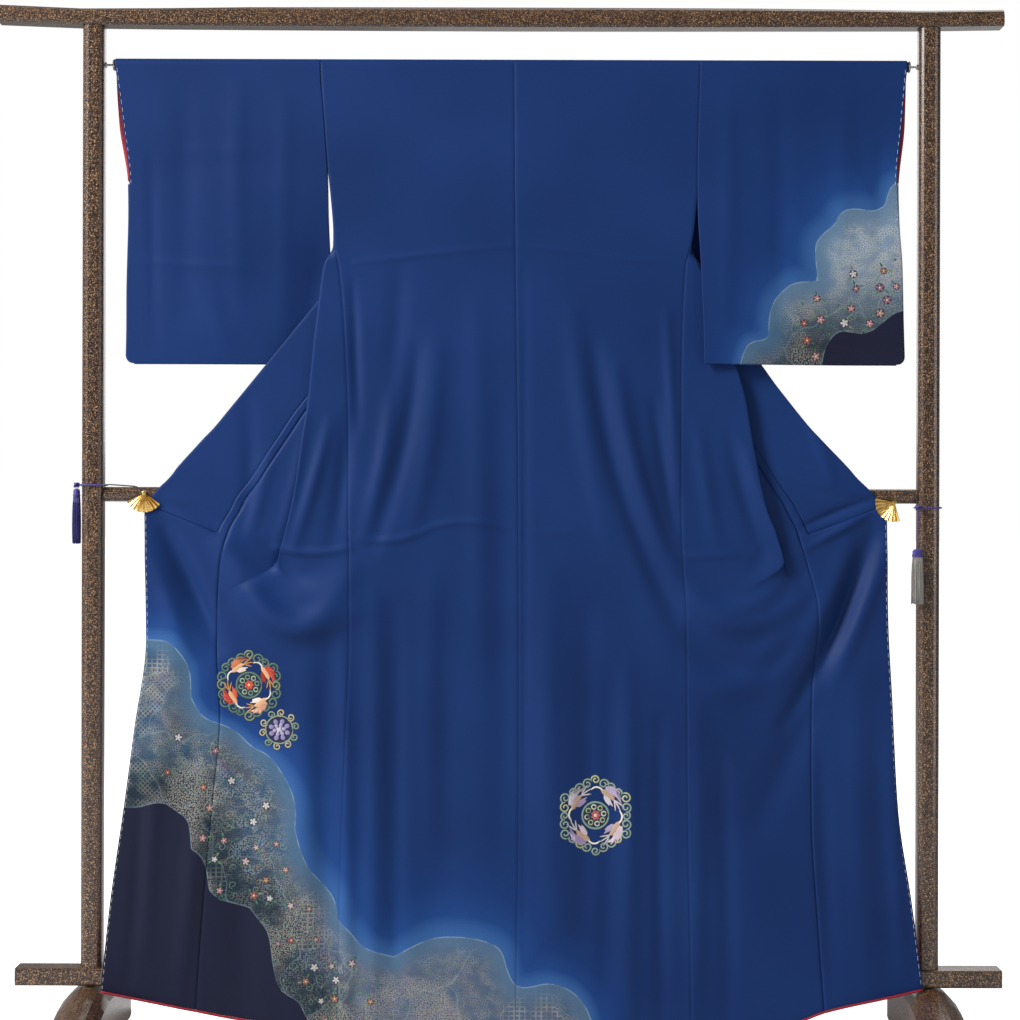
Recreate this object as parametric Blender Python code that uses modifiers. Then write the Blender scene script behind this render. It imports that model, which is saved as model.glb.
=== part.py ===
"""A homongi kimono hung from its sleeves on a lacquered display stand, seen from its back.

The garment is spread: its back hangs flat from a rod, and its two fronts are drawn out
sideways and held by fan clips. The front of the scene is -Y, where a viewer stands, +X is
the viewer's right and Z is up. The floor is at Z = 0. Garment sizes are in millimetres:
"drop" is how far a point lies below the shoulder line, and "out" is its distance from the
centre back seam, towards the side in question. Depths are along Y.
"""
import math

import bmesh
import bpy
import numpy as np
from mathutils import Vector

MM = 0.001

# The stand's middle lies this far from the frame's origin, because the top beam
# reaches further on the left than on the right.
MIDDLE_X = 22.5

# Cloth, seams and the garment's cut
WALL = 1.2
GAP = 0.3
SHOULDER = 1605.7
LENGTH = 1587.0
FRONT_WIDTH = 240.0
SEAM_OFFSET = GAP / 2
SIDE_OFFSET = 0.7  # the front's side edge is turned to the back's, so it keeps further off

# Rod under the shoulders
ROD_RADIUS = 8.5
ROD_Z = 1595.8
ROD_LEFT = -652.0
ROD_RIGHT = 643.6
WRAP = SHOULDER - ROD_Z

# Stand
POST_LEFT = -686.0
POST_RIGHT = 678.0
POST_WIDTH = 35.5
POST_CORNER = 11.0
LOWER_BEAM = dict(left=-808.0, right=797.0, bottom=94.0, height=29.0, depth=46.0)
TOP_BEAM_LEFT = -842.0
TOP_BEAM_RIGHT = 797.0
TOP_BEAM_DEPTH = 42.0
RAIL_Z = 894.0
RAIL_RADIUS = 12.0
FOOT_HALF_WIDTH = 38.0
FOOT_HALF_LENGTH = 210.0
FOOT_OUTSET = 5.0
FOOT_CROWN = 24.0

# Levels of the body's grid, as drops below the shoulder line
LEVELS = (
    9.9, 50, 102, 150, 205, 233, 270, 305, 320, 337, 376, 430, 498, 566, 635, 700, 737,
    774, 820, 845, 870, 905, 948, 1050, 1160, 1290, 1440, 1587,
)
WRAP_STEPS = 5
FRONT_COLUMNS = 16
NECK_COLUMNS = 2
COLLAR_COLUMNS = 7
OKUMI_COLUMNS = 5

# A front's path turns at these places, counted in spans of its curve: the columns keep
# to them from level to level, so that each fold keeps its own columns.
LIP_MARKS = (0, 1.2, 2, 2.65, 3.35, 4, 4.6, 5.2, 5.8, 6.4)
TUCK_MARKS = (7, 7.65, 8.35, 9)
COLLAR_MARKS = (7.2, 7.75, 8.3, 9)
SPAN_POINTS = 12
SEAM_CROSSES_TUCK = 233.0
FIRST_LIP = 305.0
TUCK_APPROACH = (24, 18, 12, 9, 6, 3, 0)
TUCK_LEAVING = (0, 1.5, 4, 7, 11)

# How far each front is folded, from 1 (folded) to 0 (opened flat), against drop, and how
# far its layers still stand apart in depth.
FOLDED = ((0, 1), (820, 1), (870, 0.35), (948, 0), (1600, 0))
PARTED = ((0, 1), (820, 1), (1000, 0), (1600, 0))
OVERLAP_ENDS = (774.0, 820.0)
EASE = 7.0
LIP_OPENS = 20.0
TUCK_CLOSES = 40.0

# One row a level: drop, then how far out the side seam, the front fold's lip and the free
# edge lie, and the width along the cloth from the okumi seam to the free edge.
SIDE_COLUMNS = ("drop", "side", "lip", "edge", "outer")
LEFT_SIDE = (
    (0, 317, 317, 5, 90),
    (60, 313, 313, 50, 93),
    (102, 310, 310, 83, 105),
    (150, 307, 307, 122, 118),
    (216, 302, 302, 175, 130),
    (270, 298, 298, 219, 130),
    (305, 296, 298, 247, 130),
    (337, 285, 309, 273, 130),
    (402, 278, 318, 326, 128),
    (463, 274, 325, 375, 126),
    (566, 269, 335, 458, 126),
    (616, 268, 343, 499, 133),
    (688, 268, 352, 557, 144),
    (728, 268, 359, 590, 150),
    (774, 267, 370, 600, 136),
    (830, 266, 385, 599, 122),
    (948, 265, 400, 596, 115),
    (1102, 270, 400, 614, 139),
    (1254, 276, 400, 631, 143),
    (1430, 280, 400, 652, 150),
    (1587, 281, 400, 667, 155),
)
RIGHT_SIDE = (
    (0, 304, 304, 5, 90),
    (60, 302, 302, 50, 93),
    (102, 301, 301, 83, 105),
    (150, 300, 300, 122, 118),
    (208, 299, 299, 169, 134),
    (270, 294, 294, 219, 130),
    (305, 288, 289.5, 247, 130),
    (337, 280, 303, 274, 130),
    (402, 276, 328, 327, 130),
    (463, 274, 349, 377, 130),
    (550, 273, 377, 447, 132),
    (616, 273, 388, 500, 135),
    (657, 273, 396, 533, 138),
    (689, 273, 402, 559, 144),
    (730, 273, 411, 593, 150),
    (776, 274, 428, 608, 143),
    (830, 277, 440, 609, 128),
    (901, 281, 440, 610, 114),
    (1052, 283, 440, 617, 131),
    (1254, 285, 440, 626, 140),
    (1430, 289, 440, 648, 152),
    (1587, 291, 440, 667, 160),
)
SIDES = {"left": LEFT_SIDE, "right": RIGHT_SIDE}
SIGN = {"left": -1, "right": 1}

# Depths at each drop: the near layer (the back and the fronts' strips), the middle layer
# behind it, the far layer that carries the collar, and the fronts' upper side edge.
DEPTH_COLUMNS = ("drop", "near", "middle", "far", "side")
DEPTHS = (
    (0, -9.9, 9.9, 16.0, 9.9),
    (9.9, -9.9, 9.9, 16.0, 9.9),
    (60, -11.2, 9.0, 15.4, 9.6),
    (102, -12.2, 8.0, 14.6, 9.0),
    (216, -14.8, 3.0, 9.6, 4.4),
    (270, -16.0, -0.5, 6.2, -7.0),
    (305, -16.7, -2.7, 3.8, -16.7),
    (337, -17.4, -5.0, 2.0, -17.4),
    (498, -23.0, -14.5, -6.5, -23.0),
    (728, -31.0, -23.7, -16.2, -31.0),
    (870, -32.0, -26.5, -20.0, -32.0),
    (1100, -31.0, -27.5, -24.0, -31.0),
    (1587, -31.0, -30.0, -29.0, -31.0),
)

# The hem's drop at each distance out
HEMS = {
    "left": ((-20, 1587), (0, 1587), (281, 1580), (428, 1563), (514, 1547), (667, 1517)),
    "right": ((-20, 1587), (0, 1587), (281, 1583), (450, 1566), (509, 1546), (637, 1517),
              (670, 1509)),
}
HEM_EASE_FROM = 900.0

# The centre back seam wanders a little to the right as it falls
CENTRE_DROP = (0, 314, 688, 1143, 1566)
CENTRE_X = (0, 3, 8, 10, 7)

# The collar's lower end rises from the okumi seam out to the clip
COLLAR_END = 774.0
COLLAR_END_RISE = 46.0
COLLAR_END_REACH = 180.0
OKUMI_POINT = 240.0
OKUMI_SLIVER = ((0, 0), (150, 0), (205, 1), (233, 2.5), (270, 4), (566, 16), (1600, 16))

# The largest folds: x and drop of a fold's start, middle and end, its half width, and how
# far it stands towards the viewer (away from the viewer where negative)
FOLD_COLUMNS = ("x0", "drop0", "x1", "drop1", "x2", "drop2", "width", "height")
FOLDS = (
    (-262, 900, -372, 985, -470, 800, 24, 11),
    (-345, 815, -368, 830, -392, 820, 32, -6),
    (-575, 760, -530, 840, -492, 960, 20, -8),
    (-560, 900, -545, 1000, -560, 1150, 26, 6),
    (-330, 1000, -345, 1250, -335, 1560, 30, 6),
    (-440, 1050, -430, 1300, -440, 1560, 32, -6),
    (272, 860, 372, 960, 452, 800, 26, 10),
    (300, 1000, 380, 1060, 470, 900, 26, 7),
    (380, 815, 405, 835, 430, 815, 32, -5),
    (580, 760, 548, 870, 505, 1010, 20, -8),
    (505, 1010, 460, 1110, 400, 1240, 26, -6),
    (560, 1000, 555, 1250, 580, 1500, 26, 6),
    (-140, 470, -190, 640, -215, 800, 30, 5),
    (130, 520, 185, 720, 250, 980, 30, 5),
    (60, 900, 85, 1250, 70, 1560, 40, 5),
    (-120, 950, -110, 1250, -130, 1560, 40, -5),
)
FOLD_STEPS = 24

# Sleeves. One row a level: drop, then how far out the inner edge, the near and the far
# outer edge lie; the depth of the sleeve's middle at its inner and outer edges; and half
# the space between its two walls there.
SLEEVE_COLUMNS = (
    "drop", "inner", "near_outer", "far_outer", "mid_in", "mid_out", "half_in", "half_out",
)
LEFT_SLEEVE = (
    (0, 317, 652, 652, 0, 0, 9.9, 9.9),
    (9.9, 317, 651, 652, 0, 0, 9.9, 9.9),
    (102, 310.1, 639, 647, -1.6, 0, 10.6, 8.6),
    (205, 303.2, 628, 631, -4.9, 0, 9.7, 3.2),
    (260, 300.5, 629, 629, 1.0, 0.5, 8.0, 2.6),
    (337, 299, 631, 631, 6.5, 1.5, 4.8, 2.4),
    (385, 298, 632, 632, 8.8, 2.0, 4.4, 2.4),
    (430, 297, 632, 632, 8.8, 2.0, 4.4, 2.4),
    (497, 297, 633, 633, 8.0, 2.0, 3.0, 2.0),
)
RIGHT_SLEEVE = (
    (0, 304, 642, 642, 0, 0, 9.9, 9.9),
    (9.9, 304, 641, 642, 0, 0, 9.9, 9.9),
    (102, 301.3, 633, 640, -1.6, 0, 10.6, 8.6),
    (205, 299.4, 625, 629, -5.1, -2, 9.7, 3.2),
    (260, 301, 628, 628, -16.0, -4.0, 6.5, 2.6),
    (337, 305, 633, 633, -27.0, -6.0, 4.6, 2.4),
    (430, 309, 635, 635, -31.5, -8.0, 4.4, 2.4),
    (497, 311, 637, 637, -32.5, -9.0, 3.0, 2.0),
)
SLEEVES = {"left": LEFT_SLEEVE, "right": RIGHT_SLEEVE}
SLEEVE_LEVELS = (497, 494, 488, 470, 430, 385, 337, 300, 262, 205, 150, 102, 50, 9.9)
SLEEVE_COLUMNS_COUNT = 8
SLEEVE_BELLY = 3.0
CUFF_BOTTOM = 205.0
SLEEVE_CORNER = 13.0

# Linings that show
CUFF_LINING_WIDTH = 14.0
HEM_ROLL_HEIGHT = 4.0
HEM_ROLL_WALL = 2.6

# Fan clips: pivot place, turn about the view, and where each clip's cord meets its post
CLIPPED_FRONT = -18.3
CLIPPED_BACK = -15.8
FAN_RADIUS = 31.0
FAN_INNER = 3.4
FAN_SPREAD = math.radians(118)
FAN_PLEATS = 9
FAN_PLEAT_DEPTH = 1.1
FAN_WALL = 1.0
PIVOT_HEAD = 2.0
CLIPS = {
    "left": dict(x=-600.0, z=896.0, turn=math.radians(-3)),
    "right": dict(x=620.0, z=884.0, turn=math.radians(-43)),
}

COLOURS = {
    "silk": (0.016, 0.045, 0.155),
    "red silk": (0.42, 0.012, 0.022),
    "lacquer": (0.075, 0.042, 0.022),
    "steel": (0.55, 0.55, 0.56),
    "black steel": (0.02, 0.02, 0.022),
    "gold": (0.83, 0.60, 0.20),
    "black cord": (0.015, 0.014, 0.016),
    "purple cord": (0.05, 0.02, 0.16),
    "grey silk": (0.22, 0.20, 0.20),
}


def start_scene():
    """Clears the scene, and returns the garment's collection and its placing empty."""
    for item in list(bpy.data.objects):
        bpy.data.objects.remove(item, do_unlink=True)
    collection = bpy.data.collections.new("homongi kimono on a stand")
    bpy.context.scene.collection.children.link(collection)
    middle = bpy.data.objects.new("middle", None)
    middle.location = (MIDDLE_X * MM, 0, 0)
    collection.objects.link(middle)
    return collection, middle


COLLECTION, MIDDLE = start_scene()


def material(colour, roughness=0.6, metallic=0.0):
    """The Principled material of that colour's name, made once."""
    found = bpy.data.materials.get(colour)
    if found:
        return found
    made = bpy.data.materials.new(colour)
    made.use_nodes = True
    shader = made.node_tree.nodes["Principled BSDF"]
    shader.inputs["Base Color"].default_value = (*COLOURS[colour], 1)
    shader.inputs["Roughness"].default_value = roughness
    shader.inputs["Metallic"].default_value = metallic
    return made


def add(name, data, finish):
    """Puts a mesh or a curve in the scene as one sub-part, in the garment's own frame."""
    obj = bpy.data.objects.new(name, data)
    obj.parent = MIDDLE
    data.materials.append(finish)
    COLLECTION.objects.link(obj)
    return obj


def through(points_x, points_y):
    """A smooth curve through the points that never overshoots them (monotone cubic)."""
    xs = np.asarray(points_x, float)
    ys = np.asarray(points_y, float)
    slope = np.diff(ys) / np.diff(xs)
    tangent = np.concatenate([[slope[0]], np.zeros(len(xs) - 2), [slope[-1]]])
    same_way = slope[:-1] * slope[1:] > 0
    harmonic = 2 * slope[:-1] * slope[1:] / np.where(same_way, slope[:-1] + slope[1:], 1)
    tangent[1:-1] = np.where(same_way, harmonic, 0)

    def curve(x):
        x = np.clip(np.asarray(x, float), xs[0], xs[-1])
        k = np.clip(np.searchsorted(xs, x) - 1, 0, len(xs) - 2)
        width = xs[k + 1] - xs[k]
        t = (x - xs[k]) / width
        start = ys[k] * (1 + 2 * t) * (1 - t) ** 2 + tangent[k] * width * t * (1 - t) ** 2
        end = ys[k + 1] * t * t * (3 - 2 * t) + tangent[k + 1] * width * t * t * (t - 1)
        return start + end

    return curve


def curves(columns, rows):
    """A curve against the first column for each of the table's other columns."""
    table = np.array(rows, float).T
    return {name: through(table[0], table[k + 1]) for k, name in enumerate(columns[1:])}


SIDE_CURVES = {side: curves(SIDE_COLUMNS, rows) for side, rows in SIDES.items()}
SLEEVE_CURVES = {side: curves(SLEEVE_COLUMNS, rows) for side, rows in SLEEVES.items()}
DEPTH = curves(DEPTH_COLUMNS, DEPTHS)
folded_share = through(*zip(*FOLDED))
parted_share = through(*zip(*PARTED))
HEM_CURVES = {side: through(*zip(*rows)) for side, rows in HEMS.items()}
centre_x = through(CENTRE_DROP, CENTRE_X)
okumi_sliver = through(*zip(*OKUMI_SLIVER))


def smoothstep(x, low, high):
    t = np.clip((x - low) / (high - low), 0, 1)
    return t * t * (3 - 2 * t)


def fold_depth(x, drop):
    """How far the named folds push a point along Y; towards the viewer is negative."""
    depth = 0.0
    steps = np.linspace(0, 1, FOLD_STEPS)
    for row in FOLDS:
        fold = dict(zip(FOLD_COLUMNS, row))
        along = [(1 - steps) ** 2, 2 * steps * (1 - steps), steps ** 2]
        line_x = sum(a * fold[key] for a, key in zip(along, ("x0", "x1", "x2")))
        line_drop = sum(a * fold[key] for a, key in zip(along, ("drop0", "drop1", "drop2")))
        distance = np.hypot(line_x - x, line_drop - drop)
        nearest = int(np.argmin(distance))
        taper = math.sin(math.pi * (0.12 + 0.76 * steps[nearest]))
        depth -= fold["height"] * taper * math.exp(-(distance[nearest] / fold["width"]) ** 2)
    return depth


def section(side, drop):
    """The front's path at one level, as fine points (out, depth) from side seam to free edge.

    The path leaves the side seam, turns back at the lip, turns again at the tuck behind
    the back panel, and runs out to the free edge. The tuck lies where the cut width of the
    front and of what is sewn to it puts it. Where a fold begins or ends, its layers stand
    as one step in depth.
    """
    at = {name: float(curve(drop)) for name, curve in SIDE_CURVES[side].items()}
    deep = {name: float(curve(drop)) for name, curve in DEPTH.items()}
    lip = at["lip"]
    tuck = max(2 * lip - at["side"] + at["edge"] - FRONT_WIDTH - at["outer"], 2) / 2
    tuck += (lip - tuck) * float(smoothstep(drop, *OVERLAP_ENDS))
    turn_in = min(EASE, (lip - at["side"]) / 2.2)
    turn_out = min(EASE, (lip - tuck) / 2.2)
    run = tuck + turn_out
    outs = [at["side"], lip - turn_in, lip, lip, lip - turn_out, (lip + tuck) / 2, run, tuck]
    outs += [tuck, run] + [run + (at["edge"] - run) * share for share in (0.35, 0.7, 1)]
    near, middle, far = deep["near"], deep["middle"], deep["far"]
    depths = np.array([deep["side"], near, near] + [middle] * 5 + [far] * 5)
    opening = float(np.clip(1 - (lip - at["side"]) / LIP_OPENS, 0, 1))
    depths[:4] += (np.linspace(deep["side"], middle, 4) - depths[:4]) * opening
    closing = float(np.clip(1 - (lip - tuck) / TUCK_CLOSES, 0, 1))
    depths[2:9] += (np.linspace(near, far, 7) - depths[2:9]) * closing
    flat_outs = np.linspace(at["side"], at["edge"], len(outs))
    flat_depths = np.linspace(deep["side"], far, len(outs))
    control = np.stack([
        flat_outs + (np.array(outs) - flat_outs) * float(folded_share(drop)),
        flat_depths + (depths - flat_depths) * float(parted_share(drop)),
    ], 1)
    control = np.vstack([control[:1], control, control[-1:]])
    t = np.linspace(0, 1, SPAN_POINTS, endpoint=False)[:, None]
    spans = [
        0.5 * (1 - t) ** 2 * a + (0.5 + t * (1 - t)) * b + 0.5 * t * t * c
        for a, b, c in zip(control[:-2], control[1:-1], control[2:])
    ]
    return np.vstack(spans + [control[-1:]])


class Level:
    """One level of a front: its path, measured by its length from the side seam."""

    def __init__(self, side, drop):
        self.drop = drop
        self.points = section(side, drop)
        self.arc = np.concatenate([[0], np.cumsum(np.hypot(*np.diff(self.points, axis=0).T))])
        self.seam = self.arc[-1] - float(SIDE_CURVES[side]["outer"](drop))

    def mark(self, spans):
        """The length to a place counted in spans of the path's curve."""
        return float(np.interp(spans * SPAN_POINTS, np.arange(len(self.arc)), self.arc))

    def at(self, lengths):
        """Points (out, depth) at lengths from the side seam."""
        return np.stack([np.interp(lengths, self.arc, self.points[:, k]) for k in (0, 1)], 1)

    def even(self, start, end, count):
        return self.at(np.linspace(start, end, count + 1))

    def front(self):
        """The body's columns, from the side seam to the okumi seam."""
        end = self.seam - SEAM_OFFSET
        start = SIDE_OFFSET
        if self.drop <= SEAM_CROSSES_TUCK:
            start += self.mark(3)
        elif self.drop <= FIRST_LIP:
            start += SIDE_OFFSET
        even = np.linspace(start, end, FRONT_COLUMNS + 1)
        plain_count = len(LIP_MARKS)
        if self.drop < SEAM_CROSSES_TUCK:
            return self.at(even)
        if self.drop == SEAM_CROSSES_TUCK:
            approach = end - np.array(TUCK_APPROACH)
            plain = np.linspace(start, approach[0], plain_count + 1)[:-1]
            return self.at(np.concatenate([plain, approach]))
        tuck = [self.mark(spans) for spans in TUCK_MARKS]
        first = np.linspace(start, tuck[0], plain_count + 1)[:-1]
        if self.drop >= FIRST_LIP:
            first = np.array([self.mark(spans) for spans in LIP_MARKS])
            first[0] = start
        folds = np.concatenate([first, tuck])
        folds *= min(1, (end - 12) / folds[-1])
        rest = np.linspace(folds[-1], end, FRONT_COLUMNS + 2 - len(folds))[1:]
        kept = np.concatenate([folds, rest])
        return self.at(kept + (even - kept) * smoothstep(self.drop, 870, 1160))

    def collar(self, start, inset):
        """The collar's columns, from its seam to its free edge."""
        end = self.arc[-1] - inset
        if self.drop < SEAM_CROSSES_TUCK:
            folds = [self.mark(spans) for spans in COLLAR_MARKS]
            rest = np.linspace(folds[-1], end, COLLAR_COLUMNS + 1 - len(folds))[1:]
            return self.at(np.concatenate([[start], folds, rest]))
        if self.drop < FIRST_LIP:
            leaving = start + np.array(TUCK_LEAVING)
            rest = np.linspace(leaving[-1], end, COLLAR_COLUMNS + 2 - len(leaving))[1:]
            return self.at(np.concatenate([leaving, rest]))
        return self.even(start, end, COLLAR_COLUMNS)


def placed(side, out, depth, drop):
    """A garment point in millimetres, with the folds and the hem's rise put in."""
    x = SIGN[side] * out
    rise = float(HEM_CURVES[side](out)) - LENGTH
    fall = drop + rise * float(smoothstep(drop, HEM_EASE_FROM, LENGTH))
    return x, depth + fold_depth(x, fall), SHOULDER - fall


def grid(name, columns, rows, place, finish, keep=None, wall=WALL, smooth=True):
    """A wall of cloth: a grid whose corner (column, row) goes to place(column, row).

    keep(column, row) says which faces stay. place gives millimetres.
    """
    bm = bmesh.new()
    bmesh.ops.create_grid(bm, x_segments=columns, y_segments=rows, size=0.5)
    if keep:
        gone = []
        for face in bm.faces:
            centre = face.calc_center_median()
            column = int((centre.x + 0.5) * columns)
            row = int((centre.y + 0.5) * rows)
            if not keep(column, row):
                gone.append(face)
        bmesh.ops.delete(bm, geom=gone, context="FACES")
    for vert in bm.verts:
        column = round((vert.co.x + 0.5) * columns)
        row = round((vert.co.y + 0.5) * rows)
        vert.co = Vector(float(value) for value in place(column, row)) * MM
    return walled(name, bm, finish, wall, smooth)


def walled(name, bm, finish, wall, smooth=True):
    """Turns an open surface into a wall of that thickness, centred on the surface."""
    mesh = bpy.data.meshes.new(name)
    bm.to_mesh(mesh)
    bm.free()
    if smooth:
        mesh.shade_smooth()
    obj = add(name, mesh, finish)
    thick = obj.modifiers.new("wall", "SOLIDIFY")
    thick.thickness = wall * MM
    thick.offset = 0
    return obj


def front_levels(side):
    return {drop: Level(side, drop) for drop in LEVELS}


def body_panel(side, levels):
    """The cloth from the back hem up and over the rod, then the cloth down to the front hem.

    On a real kimono the two are one length. They part by a seam's gap behind the rod, so
    that each is a simple sheet. Columns run from the side seam to the centre seam on the
    back, and to the okumi seam on the front.
    """
    columns = FRONT_COLUMNS + NECK_COLUMNS
    back = LEVELS[::-1]
    neck_row = len(back) - 1 + WRAP_STEPS
    first_front = {}
    for drop, level in levels.items():
        first_front[drop] = level.front()
    top_outs = first_front[LEVELS[0]][:, 0]
    neck_outs = np.linspace(top_outs[-1], SEAM_OFFSET, NECK_COLUMNS + 1)[1:]

    def back_out(column, drop):
        side_out = float(SIDE_CURVES[side]["side"](drop)) - SEAM_OFFSET
        centre_out = SIGN[side] * float(centre_x(drop)) + SEAM_OFFSET
        top = np.concatenate([top_outs, neck_outs])
        share = (top[0] - top[column]) / (top[0] - top[-1])
        return side_out + (centre_out - side_out) * share

    def back_place(column, row):
        if row < len(back):
            drop = back[row]
            depth = float(DEPTH["near"](drop))
            return placed(side, back_out(column, drop), depth, drop)
        angle = math.pi * (row - len(back) + 1) / WRAP_STEPS
        near = back_out(column, LEVELS[0])
        far = np.concatenate([top_outs, neck_outs])[column]
        out = near + (far - near) * (1 - math.cos(angle)) / 2
        return SIGN[side] * out, -WRAP * math.cos(angle), ROD_Z + WRAP * math.sin(angle)

    def front_place(column, row):
        drop = LEVELS[row]
        out, depth = first_front[drop][column]
        x, y, z = placed(side, out, depth, drop)
        return x, y, z - (GAP if row == 0 else 0)

    crossing = LEVELS.index(SEAM_CROSSES_TUCK)

    def keep(column, row):
        return row != crossing or column < FRONT_COLUMNS - 5

    silk = material("silk")
    grid(f"back_{side}", columns, neck_row, back_place, silk)
    grid(f"front_{side}", FRONT_COLUMNS, len(LEVELS) - 1, front_place, silk, keep)


def collar_end_shift(drop, share):
    """How far a level is raised to follow the collar's slanted lower end."""
    near_end = 1 - abs(drop - COLLAR_END) / COLLAR_END_REACH
    return COLLAR_END_RISE * share * float(smoothstep(near_end, 0, 1))


def collar(side, levels):
    """The collar's half, from the centre back down to the fan clip."""
    drops = [drop for drop in LEVELS if drop <= COLLAR_END]
    drops[0] = drops[0] + GAP
    points = []
    for drop in drops:
        level = levels.get(drop) or Level(side, drop)
        start = level.seam + float(okumi_sliver(drop)) + SEAM_OFFSET
        inset = SEAM_OFFSET if float(SIDE_CURVES[side]["edge"](drop)) < 1 else 0
        points.append(level.collar(start, inset))

    def place(column, row):
        out, depth = points[row][column]
        drop = drops[row] - collar_end_shift(drops[row], column / COLLAR_COLUMNS)
        if row == len(drops) - 1:
            drop -= SEAM_OFFSET
        return placed(side, out, depth, drop)

    crossing = LEVELS.index(SEAM_CROSSES_TUCK) - 1

    def keep(column, row):
        return row != crossing or column > 3

    rows = len(drops) - 1
    return grid(f"collar_{side}", COLLAR_COLUMNS, rows, place, material("silk"), keep)


def okumi_points(level):
    """The okumi's columns at a level: the sliver that shows beside the collar, then the rest."""
    seam = level.seam + SEAM_OFFSET
    sliver = seam + float(okumi_sliver(level.drop)) - GAP
    return np.vstack([level.at([seam]), level.even(sliver, level.arc[-1], OKUMI_COLUMNS)])


def okumi(side, levels):
    """The front edge panel: full width below the collar's end, a sliver above it."""
    drops = [drop for drop in LEVELS if drop > OKUMI_POINT][::-1]
    end_row = drops.index(COLLAR_END)
    points = [okumi_points(levels[drop]) for drop in drops]

    def place(column, row):
        out, depth = points[row][column]
        share = max(column - 1, 0) / OKUMI_COLUMNS
        drop = drops[row] - collar_end_shift(drops[row], share)
        if row == end_row and column > 0:
            drop += SEAM_OFFSET
        return placed(side, out, depth, drop)

    def keep(column, row):
        return column < 1 or row < end_row

    columns = OKUMI_COLUMNS + 1
    return grid(f"okumi_{side}", columns, len(drops) - 1, place, material("silk"), keep)


def sleeve_edge(side, layer, drop):
    """How far out a sleeve wall reaches, with the rounded lower corner."""
    reach = float(SLEEVE_CURVES[side][f"{layer}_outer"](drop))
    above = SLEEVE_LEVELS[0] - drop
    if above < SLEEVE_CORNER:
        reach -= SLEEVE_CORNER - math.sqrt(SLEEVE_CORNER ** 2 - (SLEEVE_CORNER - above) ** 2)
    return reach


def sleeve_point(side, share, drop, layer):
    """A point of the sleeve's near or far wall; share runs from the inner to the outer edge."""
    at = {name: float(curve(drop)) for name, curve in SLEEVE_CURVES[side].items()}
    inner = at["inner"] + SEAM_OFFSET
    out = inner + (sleeve_edge(side, layer, drop) - inner) * share
    middle = at["mid_in"] + (at["mid_out"] - at["mid_in"]) * float(smoothstep(share, 0, 0.8))
    below_rod = float(smoothstep(drop, 20, 150)) * (1 - float(smoothstep(drop, 440, 497)))
    half = at["half_in"] + (at["half_out"] - at["half_in"]) * share
    half += SLEEVE_BELLY * 4 * share * (1 - share) * below_rod
    half -= (half - 2.0) * float(smoothstep(drop, 488, 497))
    depth = middle - half if layer == "near" else middle + half
    return SIGN[side] * out, depth, SHOULDER - drop


def sleeve(side):
    """One folded cloth: a flat tube hung over the rod, closed below the cuff at its outer edge."""
    up = list(SLEEVE_LEVELS)
    wraps = WRAP_STEPS - 1
    loop = 2 * len(up) + wraps
    cuff_index = up.index(CUFF_BOTTOM)

    def place(column, row):
        share = column / SLEEVE_COLUMNS_COUNT
        row = row % loop
        if row < len(up):
            return sleeve_point(side, share, up[row], "near")
        if row < len(up) + wraps:
            angle = math.pi * (row - len(up) + 1) / WRAP_STEPS
            x = sleeve_point(side, share, up[-1], "far")[0]
            return x, -WRAP * math.cos(angle), ROD_Z + WRAP * math.sin(angle)
        return sleeve_point(side, share, up[loop - 1 - row], "far")

    bm = bmesh.new()
    bmesh.ops.create_grid(bm, x_segments=SLEEVE_COLUMNS_COUNT, y_segments=loop, size=0.5)
    for vert in bm.verts:
        column = round((vert.co.x + 0.5) * SLEEVE_COLUMNS_COUNT)
        row = round((vert.co.y + 0.5) * loop)
        vert.co = Vector(float(value) for value in place(column, row)) * MM
    bmesh.ops.remove_doubles(bm, verts=bm.verts, dist=1e-6)
    close_outer_edge(bm, side, up[:cuff_index + 1])
    return walled(f"sleeve_{side}", bm, material("silk"), WALL)


def close_outer_edge(bm, side, levels):
    """Joins a sleeve's two walls along the outer edge, from the bottom up to the cuff."""
    bm.verts.ensure_lookup_table()

    def corner(drop, layer):
        target = Vector(float(v) for v in sleeve_point(side, 1, drop, layer)) * MM
        return min(bm.verts, key=lambda vert: (vert.co - target).length)

    pairs = [(corner(drop, "near"), corner(drop, "far")) for drop in levels]
    for (near, far), (near_up, far_up) in zip(pairs, pairs[1:]):
        bm.faces.new((near, far, far_up, near_up))
    bmesh.ops.recalc_face_normals(bm, faces=bm.faces)


def cuff_lining(side):
    """The red lining's strip that shows inside the cuff, on the far wall."""
    drops = [drop for drop in SLEEVE_LEVELS if drop <= CUFF_BOTTOM][::-1][1:]
    drops[-1] = CUFF_BOTTOM - 6
    columns = 2
    lift = WALL / 2 + GAP + WALL / 2

    def place(column, row):
        drop = drops[row]
        reach = sleeve_edge(side, "far", drop)
        inner = float(SLEEVE_CURVES[side]["inner"](drop))
        width = CUFF_LINING_WIDTH * column / columns
        share = (reach - width - inner) / (reach - inner)
        x, depth, z = sleeve_point(side, share, drop, "far")
        return x, depth - lift, z

    return grid(f"cuff_lining_{side}", columns, len(drops) - 1, place, material("red silk"))


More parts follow.
